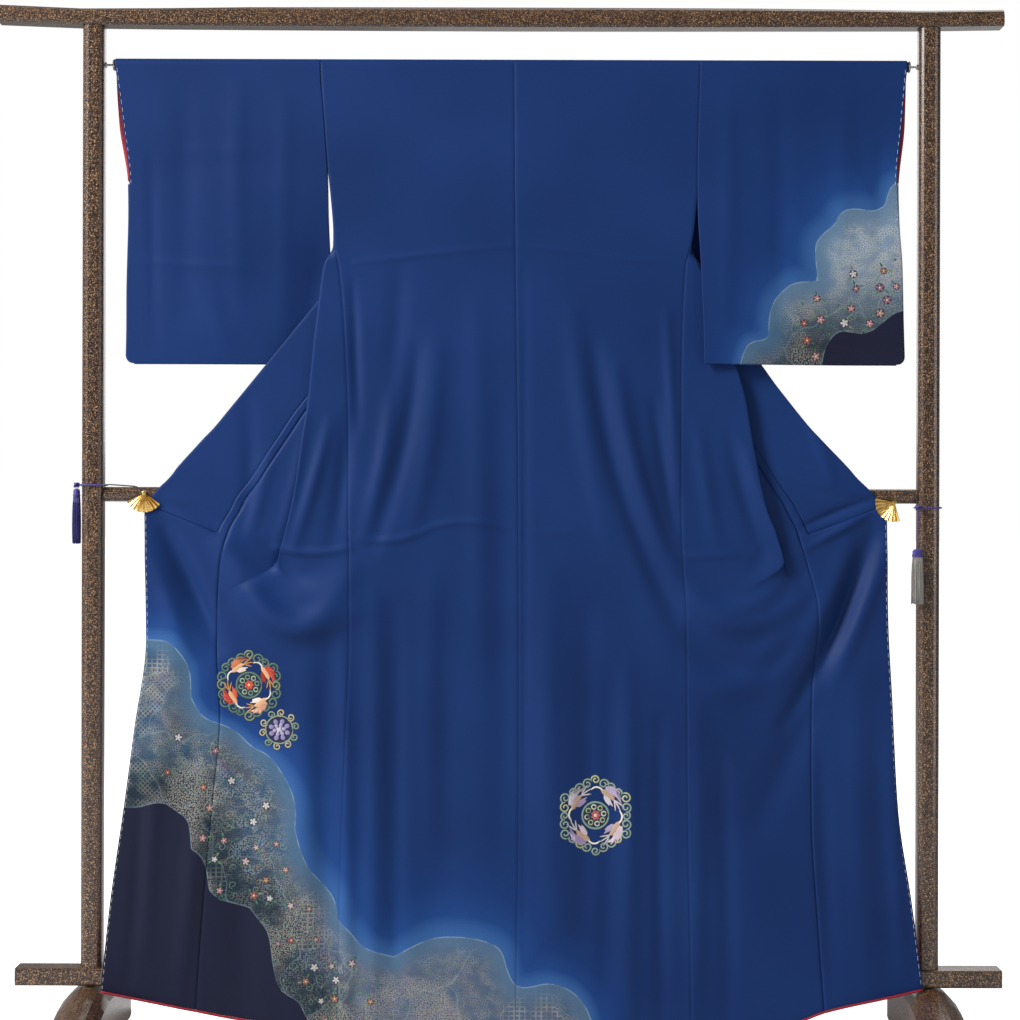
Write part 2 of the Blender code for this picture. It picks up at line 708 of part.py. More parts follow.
def hem_roll(side, levels):
    """The red lining rolled under the hem, from the centre seam out to the free edge."""
    drop = LEVELS[-1]
    level = levels[drop]
    centre_out = SIGN[side] * float(centre_x(drop)) + SEAM_OFFSET
    front = level.front()
    inner_out = np.linspace(centre_out, front[0][0], FRONT_COLUMNS, endpoint=False)
    inner = [(out, float(DEPTH["near"](drop))) for out in inner_out]
    outer = okumi_points(level)[1:]
    points = inner + [tuple(point) for point in np.vstack([front, outer])]

    def place(column, row):
        out, depth = points[column]
        x, y, z = placed(side, out, depth, drop)
        return x, y, z - GAP - HEM_ROLL_HEIGHT * (1 - row)

    name = f"hem_roll_{side}"
    return grid(name, len(points) - 1, 1, place, material("red silk"), wall=HEM_ROLL_WALL)


def rounded_box(name, low, high, corner, finish, segments=3):
    """A box between two corners, in millimetres, with its long edges rounded."""
    low = Vector(low) * MM
    high = Vector(high) * MM
    bm = bmesh.new()
    bmesh.ops.create_cube(bm, size=1)
    for vert in bm.verts:
        share = vert.co + Vector((0.5, 0.5, 0.5))
        vert.co = Vector(l + (h - l) * s for l, h, s in zip(low, high, share))
    size = high - low
    axis = max(range(3), key=lambda k: size[k])
    long_edges = [
        edge for edge in bm.edges
        if abs((edge.verts[0].co - edge.verts[1].co)[axis]) > size[axis] / 2
    ]
    bmesh.ops.bevel(
        bm, geom=long_edges, offset=corner * MM, segments=segments, profile=0.5,
        affect="EDGES",
    )
    mesh = bpy.data.meshes.new(name)
    bm.to_mesh(mesh)
    bm.free()
    mesh.shade_smooth()
    mesh.set_sharp_from_angle(angle=math.radians(40))
    return add(name, mesh, finish)


def loft(name, rings, finish):
    """A closed solid through rings of equal point counts, in millimetres, capped at its ends."""
    bm = bmesh.new()
    verts = [[bm.verts.new(Vector(point) * MM) for point in ring] for ring in rings]
    count = len(rings[0])
    for near, far in zip(verts, verts[1:]):
        for k in range(count):
            bm.faces.new((near[k], near[(k + 1) % count], far[(k + 1) % count], far[k]))
    bm.faces.new(verts[0])
    bm.faces.new(verts[-1][::-1])
    bmesh.ops.recalc_face_normals(bm, faces=bm.faces)
    mesh = bpy.data.meshes.new(name)
    bm.to_mesh(mesh)
    bm.free()
    mesh.shade_smooth()
    mesh.set_sharp_from_angle(angle=math.radians(40))
    return add(name, mesh, finish)


# The top beam at each X: the height of its underside and its thickness
TOP_BEAM_X = (-842, -780, -680, -420, 0, 420, 680, 760, 797)
TOP_BEAM_BOTTOM = (1664, 1661, 1658.5, 1657, 1656, 1657, 1658, 1658.5, 1660)
TOP_BEAM_HEIGHT = (28, 27, 27.5, 32, 33.5, 32, 28, 27.5, 28)


def top_beam():
    """The top beam, thickest at its middle, with both ends raised a little."""
    bottom = through(TOP_BEAM_X, TOP_BEAM_BOTTOM)
    height = through(TOP_BEAM_X, TOP_BEAM_HEIGHT)
    profile = ((-0.5, 0.12), (-0.5, 0.55), (-0.42, 0.84), (-0.22, 1), (0.22, 1),
               (0.42, 0.84), (0.5, 0.55), (0.5, 0.12), (0.4, 0), (-0.4, 0))
    rings = []
    for x in np.linspace(TOP_BEAM_LEFT, TOP_BEAM_RIGHT, 13):
        low = float(bottom(x))
        tall = float(height(x))
        rings.append([(x, y * TOP_BEAM_DEPTH, low + z * tall) for y, z in profile])
    return loft("top_beam", rings, material("lacquer"))


# A foot at each distance from the posts' plane: its height there
FOOT_OUT = (-210, -204, -180, -113, -24, 24, 113, 180, 204, 210)
FOOT_HEIGHT = (28, 40, 54, 72, 93.7, 93.7, 72, 54, 40, 28)
FOOT_ARCH = 9.0
FOOT_PAD = 120.0


def foot(side):
    """A foot under a post, running front to back, with a crowned top and an arched underside."""
    centre = POST_LEFT - FOOT_OUTSET if side == "left" else POST_RIGHT + FOOT_OUTSET
    heights = through(FOOT_OUT, FOOT_HEIGHT)
    across = np.linspace(-1, 1, 9)
    stations = (-210, -204, -190, -165, -120, -113, -70, -24, 0, 24, 70, 113, 120, 165, 190,
                204, 210)
    rings = []
    for y in stations:
        top = float(heights(y))
        end_ease = 1 - 0.18 * max(abs(y) - 180, 0) / 30
        width = FOOT_HALF_WIDTH * end_ease
        lift = FOOT_ARCH * float(smoothstep(FOOT_PAD - abs(y), 0, 30)) if abs(y) < FOOT_PAD else 0
        crown = FOOT_CROWN * top / FOOT_HEIGHT[4]
        ring = [(centre + width * t, y, top - crown * t * t) for t in across]
        ring += [(centre + width, y, lift), (centre - width, y, lift)]
        rings.append(ring)
    return loft(f"foot_{side}", rings, material("lacquer", 0.3))


def rod_of(name, start, end, radius, finish, sides=20):
    """A straight round bar between two points, in millimetres."""
    start = Vector(start)
    end = Vector(end)
    span = end - start
    bm = bmesh.new()
    bmesh.ops.create_cone(
        bm, cap_ends=True, segments=sides, radius1=radius * MM, radius2=radius * MM,
        depth=span.length * MM,
    )
    turn = Vector((0, 0, 1)).rotation_difference(span)
    mesh = bpy.data.meshes.new(name)
    bm.to_mesh(mesh)
    bm.free()
    mesh.shade_smooth()
    mesh.set_sharp_from_angle(angle=math.radians(40))
    obj = add(name, mesh, finish)
    obj.rotation_mode = "QUATERNION"
    obj.rotation_quaternion = turn
    obj.location = (start + end) / 2 * MM
    return obj


def turned(name, profile, place, axis, finish, steps=20):
    """A turned piece: (radius, height) points in millimetres, spun about axis at place."""
    mesh = bpy.data.meshes.new(name)
    bm = bmesh.new()
    verts = [bm.verts.new(Vector((radius, 0, height)) * MM) for radius, height in profile]
    for a, b in zip(verts, verts[1:]):
        bm.edges.new((a, b))
    bm.to_mesh(mesh)
    bm.free()
    obj = add(name, mesh, finish)
    spin = obj.modifiers.new("spin", "SCREW")
    spin.steps = steps
    spin.render_steps = steps
    spin.use_merge_vertices = True
    spin.merge_threshold = 0.00005
    spin.use_smooth_shade = True
    obj.rotation_mode = "QUATERNION"
    obj.rotation_quaternion = Vector((0, 0, 1)).rotation_difference(Vector(axis))
    obj.location = Vector(place) * MM
    return obj


def tube(name, points, radius, finish, closed=False):
    """A cord or a wire: a round tube along the points, in millimetres."""
    curve = bpy.data.curves.new(name, "CURVE")
    curve.dimensions = "3D"
    curve.bevel_depth = radius * MM
    curve.bevel_resolution = 2
    curve.use_fill_caps = not closed
    spline = curve.splines.new("POLY")
    spline.points.add(len(points) - 1)
    for point, place in zip(spline.points, points):
        point.co = (*(Vector(place) * MM), 1)
    spline.use_cyclic_u = closed
    return add(name, curve, finish)


def smooth_route(points, count):
    """Evenly spaced points on a smooth curve through a route chosen by hand."""
    points = np.array(points, float)
    steps = np.hypot.reduce(np.diff(points, axis=0), axis=1)
    marks = np.concatenate([[0], np.cumsum(steps)])
    axes = [through(marks, points[:, k]) for k in range(3)]
    return [tuple(float(axis(mark)) for axis in axes) for mark in np.linspace(0, marks[-1], count)]


def stand():
    """Posts, beams, rail and feet."""
    lacquer = material("lacquer", 0.3)
    half = POST_WIDTH / 2
    beam = LOWER_BEAM
    top_of_lower = beam["bottom"] + beam["height"]
    underside = through(TOP_BEAM_X, TOP_BEAM_BOTTOM)
    rounded_box(
        "lower_beam",
        (beam["left"], -beam["depth"] / 2, beam["bottom"] + GAP / 2),
        (beam["right"], beam["depth"] / 2, top_of_lower),
        4.0, lacquer,
    )
    for side, x in (("left", POST_LEFT), ("right", POST_RIGHT)):
        top = min(float(underside(x - half)), float(underside(x + half))) - GAP
        rounded_box(
            f"post_{side}", (x - half, -half, top_of_lower + GAP), (x + half, half, top),
            POST_CORNER, lacquer, segments=4,
        )
        foot(side)
    top_beam()
    rail_start = (POST_LEFT + half + GAP, 0, RAIL_Z)
    rail_end = (POST_RIGHT - half - GAP, 0, RAIL_Z)
    rod_of("middle_rail", rail_start, rail_end, RAIL_RADIUS, lacquer)


def sleeve_rod():
    """The rod through the sleeves, with a cap and a pin at each end."""
    steel = material("steel", 0.3, 1.0)
    rod_of("sleeve_rod", (ROD_LEFT, 0, ROD_Z), (ROD_RIGHT, 0, ROD_Z), ROD_RADIUS,
           material("black steel", 0.4))
    half = POST_WIDTH / 2
    ends = {
        "left": (ROD_LEFT - GAP, POST_LEFT + half + GAP, -1),
        "right": (ROD_RIGHT + GAP, POST_RIGHT - half - GAP, 1),
    }
    for side, (inner, outer, way) in ends.items():
        reach = abs(outer - inner)
        profile = ((0, reach), (4.5, reach), (4.5, reach - 2), (1.8, reach - 3), (1.8, 4),
                   (8.5, 3), (9.5, 2), (9.5, 0.5), (9, 0), (0, 0))
        turned(f"rod_pin_{side}", profile, (inner, 0, ROD_Z), (way, 0, 0), steel, 14)


def fan_clip(side):
    """A pleated fan in front of the cloth's corner, a jaw behind it, and the pivot between."""
    gold = material("gold", 0.3, 1.0)
    clip = CLIPS[side]
    columns = FAN_PLEATS * 2
    rings = 2
    front = CLIPPED_FRONT - GAP - FAN_PLEAT_DEPTH - FAN_WALL / 2
    back = CLIPPED_BACK + GAP + FAN_WALL / 2

    def blade(radius, share, pleat):
        angle = -math.pi / 2 + clip["turn"] + (share - 0.5) * FAN_SPREAD
        x = clip["x"] + radius * math.cos(angle)
        z = clip["z"] + radius * math.sin(angle)
        return x, front + pleat, z

    def place(column, row):
        radius = FAN_INNER + (FAN_RADIUS - FAN_INNER) * row / rings
        pleat = FAN_PLEAT_DEPTH * (1 if column % 2 else -1) * (0.25 + 0.75 * row / rings)
        if row == rings and column % 2:
            radius += 0.8
        return blade(radius, column / columns, pleat)

    grid(f"fan_{side}", columns, rings, place, gold, wall=FAN_WALL, smooth=False)

    def jaw_place(column, row):
        radius = FAN_INNER + (FAN_RADIUS * 0.72 - FAN_INNER) * row / 2
        x, _, z = blade(radius, 0.2 + 0.6 * column / 6, 0)
        return x, back, z

    grid(f"fan_jaw_{side}", 6, 2, jaw_place, gold, wall=FAN_WALL, smooth=False)
    tip = front - FAN_PLEAT_DEPTH - FAN_WALL - PIVOT_HEAD
    tail = back + FAN_WALL / 2 + 1.0
    span = tail - tip
    profile = ((0, span), (2.4, span), (2.4, 2.4), (3.6, 1.8), (3.4, 0.5), (2.2, 0), (0, 0))
    turned(f"fan_pivot_{side}", profile, (clip["x"], tip, clip["z"]), (0, 1, 0), gold, 14)


TASSEL_HEAD_RADIUS = 6.0
TASSEL_STRANDS_ACROSS = 5
TASSEL_LENGTH = 82.0
TASSEL_HEAD_HEIGHT = 11.0
TASSEL_DOME = 3.0
TASSEL_RIGHT_Z = 798.0


def tassel(side, x, y, z, finish):
    """A tassel: its bound head above z, and strands whose roots are one with its underside."""
    bm = bmesh.new()
    bmesh.ops.create_grid(
        bm, x_segments=TASSEL_STRANDS_ACROSS, y_segments=TASSEL_STRANDS_ACROSS, size=1
    )
    for vert in bm.verts:
        u = vert.co.x
        v = vert.co.y
        vert.co.x = TASSEL_HEAD_RADIUS * MM * u * math.sqrt(1 - v * v / 2)
        vert.co.y = TASSEL_HEAD_RADIUS * MM * v * math.sqrt(1 - u * u / 2)
    flat = list(bm.faces)
    body = bmesh.ops.extrude_face_region(bm, geom=flat)
    raised = [item for item in body["geom"] if isinstance(item, bmesh.types.BMVert)]
    shoulder = TASSEL_HEAD_HEIGHT - TASSEL_DOME
    bmesh.ops.translate(bm, verts=raised, vec=(0, 0, shoulder * MM))
    for vert in raised:
        from_axis = vert.co.xy.length / (TASSEL_HEAD_RADIUS * MM)
        vert.co.z += TASSEL_DOME * MM * (1 - from_axis ** 2)
    bmesh.ops.recalc_face_normals(bm, faces=bm.faces)
    bottom = [face for face in bm.faces if face.calc_center_median().z < 1e-6]
    bmesh.ops.inset_individual(bm, faces=bottom, thickness=0.16 * MM, use_even_offset=True)
    strands = bmesh.ops.extrude_discrete_faces(bm, faces=bottom)["faces"]
    for number, face in enumerate(strands):
        centre = face.calc_center_median()
        spread = 1.22
        length = TASSEL_LENGTH - 3 * ((number * 7) % 5) / 4
        for vert in face.verts:
            offset = vert.co - centre
            vert.co = Vector((centre.x * spread, centre.y * spread, -length * MM)) + offset
    mesh = bpy.data.meshes.new(f"tassel_{side}")
    bm.to_mesh(mesh)
    bm.free()
    obj = add(f"tassel_{side}", mesh, finish)
    obj.location = Vector((x, y, z)) * MM
    return obj


POST_LOOP_POINTS = 16


def post_loop(side, z, finish):
    """A cord loop round a post, just clear of it."""
    x = POST_LEFT if side == "left" else POST_RIGHT
    clear = POST_WIDTH / 2 + 1.8 + GAP
    points = []
    for k in range(POST_LOOP_POINTS):
        angle = 2 * math.pi * k / POST_LOOP_POINTS
        c = math.cos(angle)
        s = math.sin(angle)
        reach = clear / (abs(c) ** 5 + abs(s) ** 5) ** 0.2
        points.append((x + reach * c, reach * s, z))
    return tube(f"post_loop_{side}", points, 1.6, finish, closed=True)


# Routes of the clips' cords, from each fan's pivot to the post: the left one ends at the
# loop round its post, the right one at its knot.
CORD_ROUTES = {
    "left": ((-602.7, -23.2, 899.5), (-614, -23.5, 906.5), (-631, -24, 908),
             (-646, -23.5, 909), (-658, -21, 909.5), (-666.8, -18.1, 908.9)),
    "right": ((622.7, -23.2, 887.5), (632, -24, 897.5), (643, -25, 900.5),
              (652.5, -25.2, 896), (657.6, -24.7, 881.2)),
}
KNOTS = {"left": (-713.7, 0, 903.8), "right": (657.9, -24.7, 870.5)}
KNOT_HEIGHT = 10.0


def cords_and_tassels():
    black = material("black cord", 0.8)
    purple = material("purple cord", 0.8)
    grey = material("grey silk", 0.8)
    profile = ((0, 10), (3, 9.4), (5.2, 7.5), (6, 5), (5.2, 2.5), (3, 0.6), (0, 0))
    for side, (x, y, low) in KNOTS.items():
        tube(f"clip_cord_{side}", smooth_route(CORD_ROUTES[side], 12), 1.1, black)
        post_loop(side, low + KNOT_HEIGHT / 2, purple)
        turned(f"cord_knot_{side}", profile, (x, y, low), (0, 0, 1), purple, 14)
    x, y, low = KNOTS["left"]
    tassel("left", x, y, low - GAP - TASSEL_HEAD_HEIGHT, purple)
    x, y, low = KNOTS["right"]
    tassel("right", x - 0.9, y, TASSEL_RIGHT_Z, grey)
    end = TASSEL_RIGHT_Z + TASSEL_HEAD_HEIGHT + GAP
    route = ((x, y, low - GAP), (x - 0.4, y, (low + end) / 2), (x - 0.9, y, end))
    tube("tassel_cord_right", route, 0.9, grey)


def garment():
    for side in ("left", "right"):
        levels = front_levels(side)
        body_panel(side, levels)
        collar(side, levels)
        okumi(side, levels)
        sleeve(side)
        cuff_lining(side)
        hem_roll(side, levels)


def main():
    garment()
    stand()
    sleeve_rod()
    for side in ("left", "right"):
        fan_clip(side)
    cords_and_tassels()


main()
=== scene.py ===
import math
from functools import cache

import bmesh
import bpy
import numpy as np
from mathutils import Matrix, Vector
from mathutils.bvhtree import BVHTree


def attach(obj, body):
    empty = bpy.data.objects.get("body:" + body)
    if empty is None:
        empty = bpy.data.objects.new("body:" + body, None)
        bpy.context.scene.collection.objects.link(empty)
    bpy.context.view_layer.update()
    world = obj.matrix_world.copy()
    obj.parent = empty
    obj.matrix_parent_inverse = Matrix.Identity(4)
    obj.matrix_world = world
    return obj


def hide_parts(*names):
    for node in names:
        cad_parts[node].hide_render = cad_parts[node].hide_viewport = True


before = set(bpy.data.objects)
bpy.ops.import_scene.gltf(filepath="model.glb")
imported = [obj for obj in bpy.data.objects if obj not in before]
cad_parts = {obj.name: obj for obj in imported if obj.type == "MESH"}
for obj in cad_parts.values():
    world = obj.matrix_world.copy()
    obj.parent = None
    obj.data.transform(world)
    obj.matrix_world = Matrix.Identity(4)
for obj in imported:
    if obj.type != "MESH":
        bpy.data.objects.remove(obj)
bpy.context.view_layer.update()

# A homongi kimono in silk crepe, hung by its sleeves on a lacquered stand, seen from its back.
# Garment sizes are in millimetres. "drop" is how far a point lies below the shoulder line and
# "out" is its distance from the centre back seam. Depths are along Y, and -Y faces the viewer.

MM = 0.001
MIDDLE_X = 22.5
GAP = 0.3
# Sewn panels run past their seam by this much, so that no light comes through
SEAM_OFFSET = -0.12
SHOULDER = 1605.7
LENGTH = 1587.0
FRONT_WIDTH = 240.0
ROD_Z = 1595.8
WRAP = SHOULDER - ROD_Z
POST_LEFT = -686.0
POST_RIGHT = 678.0
POST_WIDTH = 35.5
SIGN = {"left": -1, "right": 1}
SIDE_NAMES = ("left", "right")

# Camera: level, square to the cloth, at the height of the clips
CAMERA_X = 17.5
CAMERA_Z = 870.0
CAMERA_AWAY = 3520.0
VIEW_WIDTH = 1658.5
CAMERA_ROLL = 0.16

# Cloth as it is shown: the lined silk's thickness, and the size of its mesh
CLOTH = 1.1
FOLDED_SILK = 1.2
COLUMN_STEP = 6.5
ROW_STEP = 9.0
# Rows lie closer where level creases cross the cloth
CREASED_BANDS = ((300, 340), (752, 818))
CREASED_STEP = 3.0
# Rows and columns close to an edge, in millimetres from it, for its soft turn
EDGE_ROWS = (1.5, 4.0)
WRAP_ROWS = 10

# Levels, columns and folds of the garment's form, as its solids have them
LEVELS = (
    9.9, 50, 102, 150, 205, 233, 270, 305, 320, 337, 376, 430, 498, 566, 635, 700, 737,
    774, 820, 845, 870, 905, 948, 1050, 1160, 1290, 1440, 1587,
)
FRONT_COLUMNS = 16
NECK_COLUMNS = 2
COLLAR_COLUMNS = 7
OKUMI_COLUMNS = 5
OKUMI_EDGE_COLUMNS = (0.14, 0.05)
LIP_MARKS = (0, 1.2, 2, 2.65, 3.35, 4, 4.6, 5.2, 5.8, 6.4)
TUCK_MARKS = (7, 7.65, 8.35, 9)
COLLAR_MARKS = (7.2, 7.75, 8.3, 9)
SPAN_POINTS = 12
SEAM_CROSSES_TUCK = 233.0
FIRST_LIP = 305.0
TUCK_APPROACH = (24, 18, 12, 9, 6, 3, 0)
TUCK_LEAVING = (0, 1.5, 4, 7, 11)
FOLDED = ((0, 1), (820, 1), (870, 0.35), (948, 0), (1600, 0))
PARTED = ((0, 1), (820, 1), (1000, 0), (1600, 0))
OVERLAP_ENDS = (774.0, 820.0)
EASE = 7.0
LIP_OPENS = 20.0
TUCK_CLOSES = 40.0

SIDE_COLUMNS = ("drop", "side", "lip", "edge", "outer")
SIDES = {
    "left": (
        (0, 317, 317, 5, 90), (60, 313, 313, 50, 93), (102, 310, 310, 83, 105),
        (150, 307, 307, 122, 118), (216, 299.5, 299.5, 175, 130), (270, 294.5, 294.5, 219, 130),
        (305, 292.5, 294.5, 247, 130), (337, 285, 309, 273, 130), (402, 278, 318, 326, 128),
        (463, 274, 325, 375, 126), (566, 269, 335, 458, 126), (616, 268, 343, 499, 133),
        (688, 268, 352, 557, 144), (728, 268, 359, 590, 150), (774, 267, 370, 600, 136),
        (830, 266, 385, 599, 122), (948, 265, 400, 596, 115), (1102, 270, 400, 614, 139),
        (1254, 276, 400, 631, 143), (1430, 280, 400, 652, 150), (1587, 281, 400, 667, 155),
    ),
    "right": (
        (0, 304, 304, 5, 90), (60, 302, 302, 50, 93), (102, 301, 301, 83, 105),
        (150, 300, 300, 122, 118), (208, 299, 299, 169, 134), (270, 294, 294, 219, 130),
        (305, 288, 289.5, 247, 130), (337, 280, 303, 274, 130), (402, 276, 328, 327, 130),
        (463, 274, 349, 377, 130), (550, 273, 377, 447, 132), (616, 273, 388, 500, 135),
        (657, 273, 396, 533, 138), (689, 273, 402, 559, 144), (730, 273, 411, 593, 150),
        (776, 274, 428, 608, 143), (830, 277, 440, 609, 128), (901, 281, 440, 610, 114),
        (1052, 283, 440, 617, 131), (1254, 285, 440, 626, 140), (1430, 289, 440, 648, 152),
        (1587, 291, 440, 667, 160),
    ),
}
DEPTH_COLUMNS = ("drop", "near", "middle", "far", "side")
DEPTHS = (
    (0, -9.9, 9.9, 16.0, 9.9), (9.9, -9.9, 9.9, 16.0, 9.9), (60, -11.2, 9.0, 15.4, 9.6),
    (102, -12.2, 8.0, 14.6, 9.0), (216, -14.8, 3.0, 9.6, 4.4), (270, -16.0, -0.5, 6.2, -7.0),
    (305, -16.7, -2.7, 3.8, -16.7), (337, -17.4, -5.0, 2.0, -17.4),
    (498, -23.0, -14.5, -6.5, -23.0), (728, -31.0, -23.7, -16.2, -31.0),
    (870, -32.0, -26.5, -20.0, -32.0), (1100, -31.0, -27.5, -24.0, -31.0),
    (1587, -31.0, -30.0, -29.0, -31.0),
)
HEMS = {
    "left": ((-20, 1587), (0, 1587), (281, 1580), (428, 1563), (514, 1547), (667, 1517)),
    "right": ((-20, 1587), (0, 1587), (281, 1583), (450, 1566), (509, 1546), (637, 1517),
              (670, 1509)),
}
HEM_EASE_FROM = 900.0
CENTRE_DROP = (0, 314, 688, 1143, 1566)
CENTRE_X = (0, 3, 8, 10, 7)
COLLAR_END = 774.0
COLLAR_END_RISE = 46.0
COLLAR_END_REACH = 180.0
# The clips pull the slanted edges straight, inside the solids' outlines: drops and places out.
SLANTS = {
    "left": ((616, 501), (715, 588.2), (730, 598), (745, 600)),
    "right": (
        (480, 390.8), (500, 406.9), (530, 428), (566, 456), (600, 483.2), (617, 499),
        (715, 592.4), (730, 602), (745, 608.4),
    ),
}
OKUMI_POINT = 240.0
OKUMI_SLIVER = ((0, 0), (150, 0), (205, 1), (233, 2.5), (270, 4), (566, 16), (1600, 16))

FOLD_COLUMNS = ("x0", "drop0", "x1", "drop1", "x2", "drop2", "width", "height")
FOLDS = (
    (-262, 900, -372, 985, -470, 800, 24, 11), (-345, 815, -368, 830, -392, 820, 32, -6),
    (-575, 760, -530, 840, -492, 960, 20, -8), (-560, 900, -545, 1000, -560, 1150, 26, 6),
    (-330, 1000, -345, 1250, -335, 1560, 30, 6), (-440, 1050, -430, 1300, -440, 1560, 32, -6),
    (272, 860, 372, 960, 452, 800, 26, 10), (300, 1000, 380, 1060, 470, 900, 26, 7),
    (380, 815, 405, 835, 430, 815, 32, -5), (580, 760, 548, 870, 505, 1010, 20, -8),
    (505, 1010, 460, 1110, 400, 1240, 26, -6), (560, 1000, 555, 1250, 580, 1500, 26, 6),
    (-140, 470, -190, 640, -215, 800, 30, 5), (130, 520, 185, 720, 250, 980, 30, 5),
    (60, 900, 85, 1250, 70, 1560, 40, 5), (-120, 950, -110, 1250, -130, 1560, 40, -5),
)
LINE_STEPS = 14

# Creases finer than the solids', in the same columns. Folding for storage leaves the level
# ones, and the pull of the clips leaves the slanted ones.
CREASES = (
    (-257, 334, -130, 318, -4, 306, 5, 1.7), (-4, 306, 70, 310, 150, 323, 5, 1.5),
    (150, 323, 200, 328, 250, 335, 5, 1.5), (-262, 777, -200, 800, -140, 768, 6, 2.8),
    (-140, 768, -84, 742, 12, 771, 6, 2.6), (30, 768, 60, 775, 96, 772, 6, 1.4),
    (262, 806, 318, 813, 366, 806, 6, 2.4), (-386, 797, -330, 814, -264, 798, 6, 3.6),
    (-462, 790, -368, 1041, -265, 840, 20, 8.5), (-392, 802, -362, 868, -312, 832, 20, -9.0),
    (-300, 600, -320, 690, -357, 800, 10, 5.0), (-268, 590, -274, 690, -292, 790, 13, -5.0),
    (-338, 579, -348, 690, -385, 795, 9, 3.4), (-262, 370, -257, 470, -252, 600, 9, -3.6),
    (-556, 740, -505, 762, -470, 800, 9, 4.0), (-560, 716, -520, 720, -470, 742, 7, 2.4),
    (-595, 805, -556, 880, -530, 970, 14, 5.0), (-566, 775, -524, 850, -474, 960, 13, -7.0),
    (-157, 480, -168, 640, -224, 790, 15, -7.0), (-122, 470, -128, 640, -168, 770, 17, 4.5),
    (-200, 560, -206, 660, -240, 770, 12, 3.6), (-185, 350, -190, 440, -196, 520, 16, -2.6),
    (-435, 560, -420, 660, -440, 760, 11, -3.4), (-395, 640, -405, 700, -430, 780, 9, 3.0),
    (130, 470, 150, 700, 264, 908, 15, -8.0), (168, 510, 200, 720, 264, 834, 14, 6.5),
    (96, 420, 112, 620, 160, 800, 18, 4.0), (228, 560, 240, 660, 262, 760, 10, -4.0),
    (250, 420, 256, 560, 268, 700, 10, 3.6), (292, 880, 372, 982, 492, 850, 17, 7.5),
    (286, 945, 380, 1044, 468, 945, 19, -8.0), (320, 860, 372, 900, 430, 840, 14, -5.0),
    (380, 640, 402, 720, 440, 800, 10, 5.0), (352, 620, 372, 720, 405, 800, 11, -4.0),
    (300, 600, 312, 700, 330, 790, 12, 3.4), (588, 775, 548, 910, 440, 1084, 14, -9.0),
    (546, 800, 504, 905, 430, 1010, 17, 6.0), (604, 800, 575, 890, 520, 1010, 14, 6.0),
    (580, 709, 510, 700, 436, 668, 6, 4.6), (578, 720, 530, 732, 470, 764, 6, -5.0),
    (575, 742, 540, 762, 480, 795, 7, 4.8), (470, 560, 500, 620, 520, 690, 12, 3.0),
    (16, 340, 21, 800, 18, 1500, 7, -1.9), (-60, 400, -52, 700, -58, 1000, 20, 2.6),
    (186, 1000, 194, 1250, 188, 1560, 16, 4.0), (156, 1000, 160, 1250, 150, 1560, 18, -4.0),
    (-225, 880, -220, 1200, -228, 1570, 16, 4.6), (-190, 900, -186, 1200, -192, 1570, 16, -4.2),
    (-300, 960, -315, 1200, -290, 1560, 20, -5.0), (-275, 960, -262, 1250, -268, 1560, 12, 4.0),
    (240, 1080, 236, 1300, 246, 1570, 13, -4.2), (300, 1060, 306, 1300, 296, 1560, 16, 4.0),
    (340, 1120, 350, 1300, 352, 1560, 15, -3.8), (-505, 1150, -520, 1350, -540, 1530, 15, 4.0),
    (-600, 1200, -605, 1350, -620, 1500, 12, -3.2), (-560, 1000, -585, 1200, -600, 1450, 16, 3.6),
    (500, 1120, 505, 1300, 520, 1500, 15, -4.2), (610, 1120, 620, 1300, 634, 1480, 12, 3.6),
    (-20, 560, -12, 900, -18, 1300, 22, -3.4), (60, 840, 52, 1100, 66, 1400, 22, 4.0),
    (-130, 850, -140, 1050, -128, 1300, 20, 4.2), (120, 900, 128, 1150, 116, 1420, 20, -4.0),
)
SLEEVE_CREASES = (
    (-600, 330, -520, 341, -430, 338, 8, 1.4), (-560, 150, -480, 156, -400, 150, 9, 1.2),
    (-450, 30, -455, 180, -448, 430, 16, 1.8), (-592, 150, -590, 320, -588, 470, 8, -1.4),
    (-375, 60, -372, 250, -380, 440, 14, 1.6), (-540, 60, -532, 250, -540, 440, 20, -2.0),
    (-312, 290, -326, 400, -352, 470, 30, -7.0), (-500, 380, -480, 430, -470, 470, 18, 1.8),
    (350, 60, 352, 260, 342, 440, 14, 1.6), (430, 60, 438, 260, 430, 460, 16, -2.0),
    (540, 50, 532, 250, 540, 450, 18, 1.8), (370, 250, 460, 258, 560, 252, 9, 1.2),
    (600, 120, 596, 260, 602, 420, 12, -1.6),
)

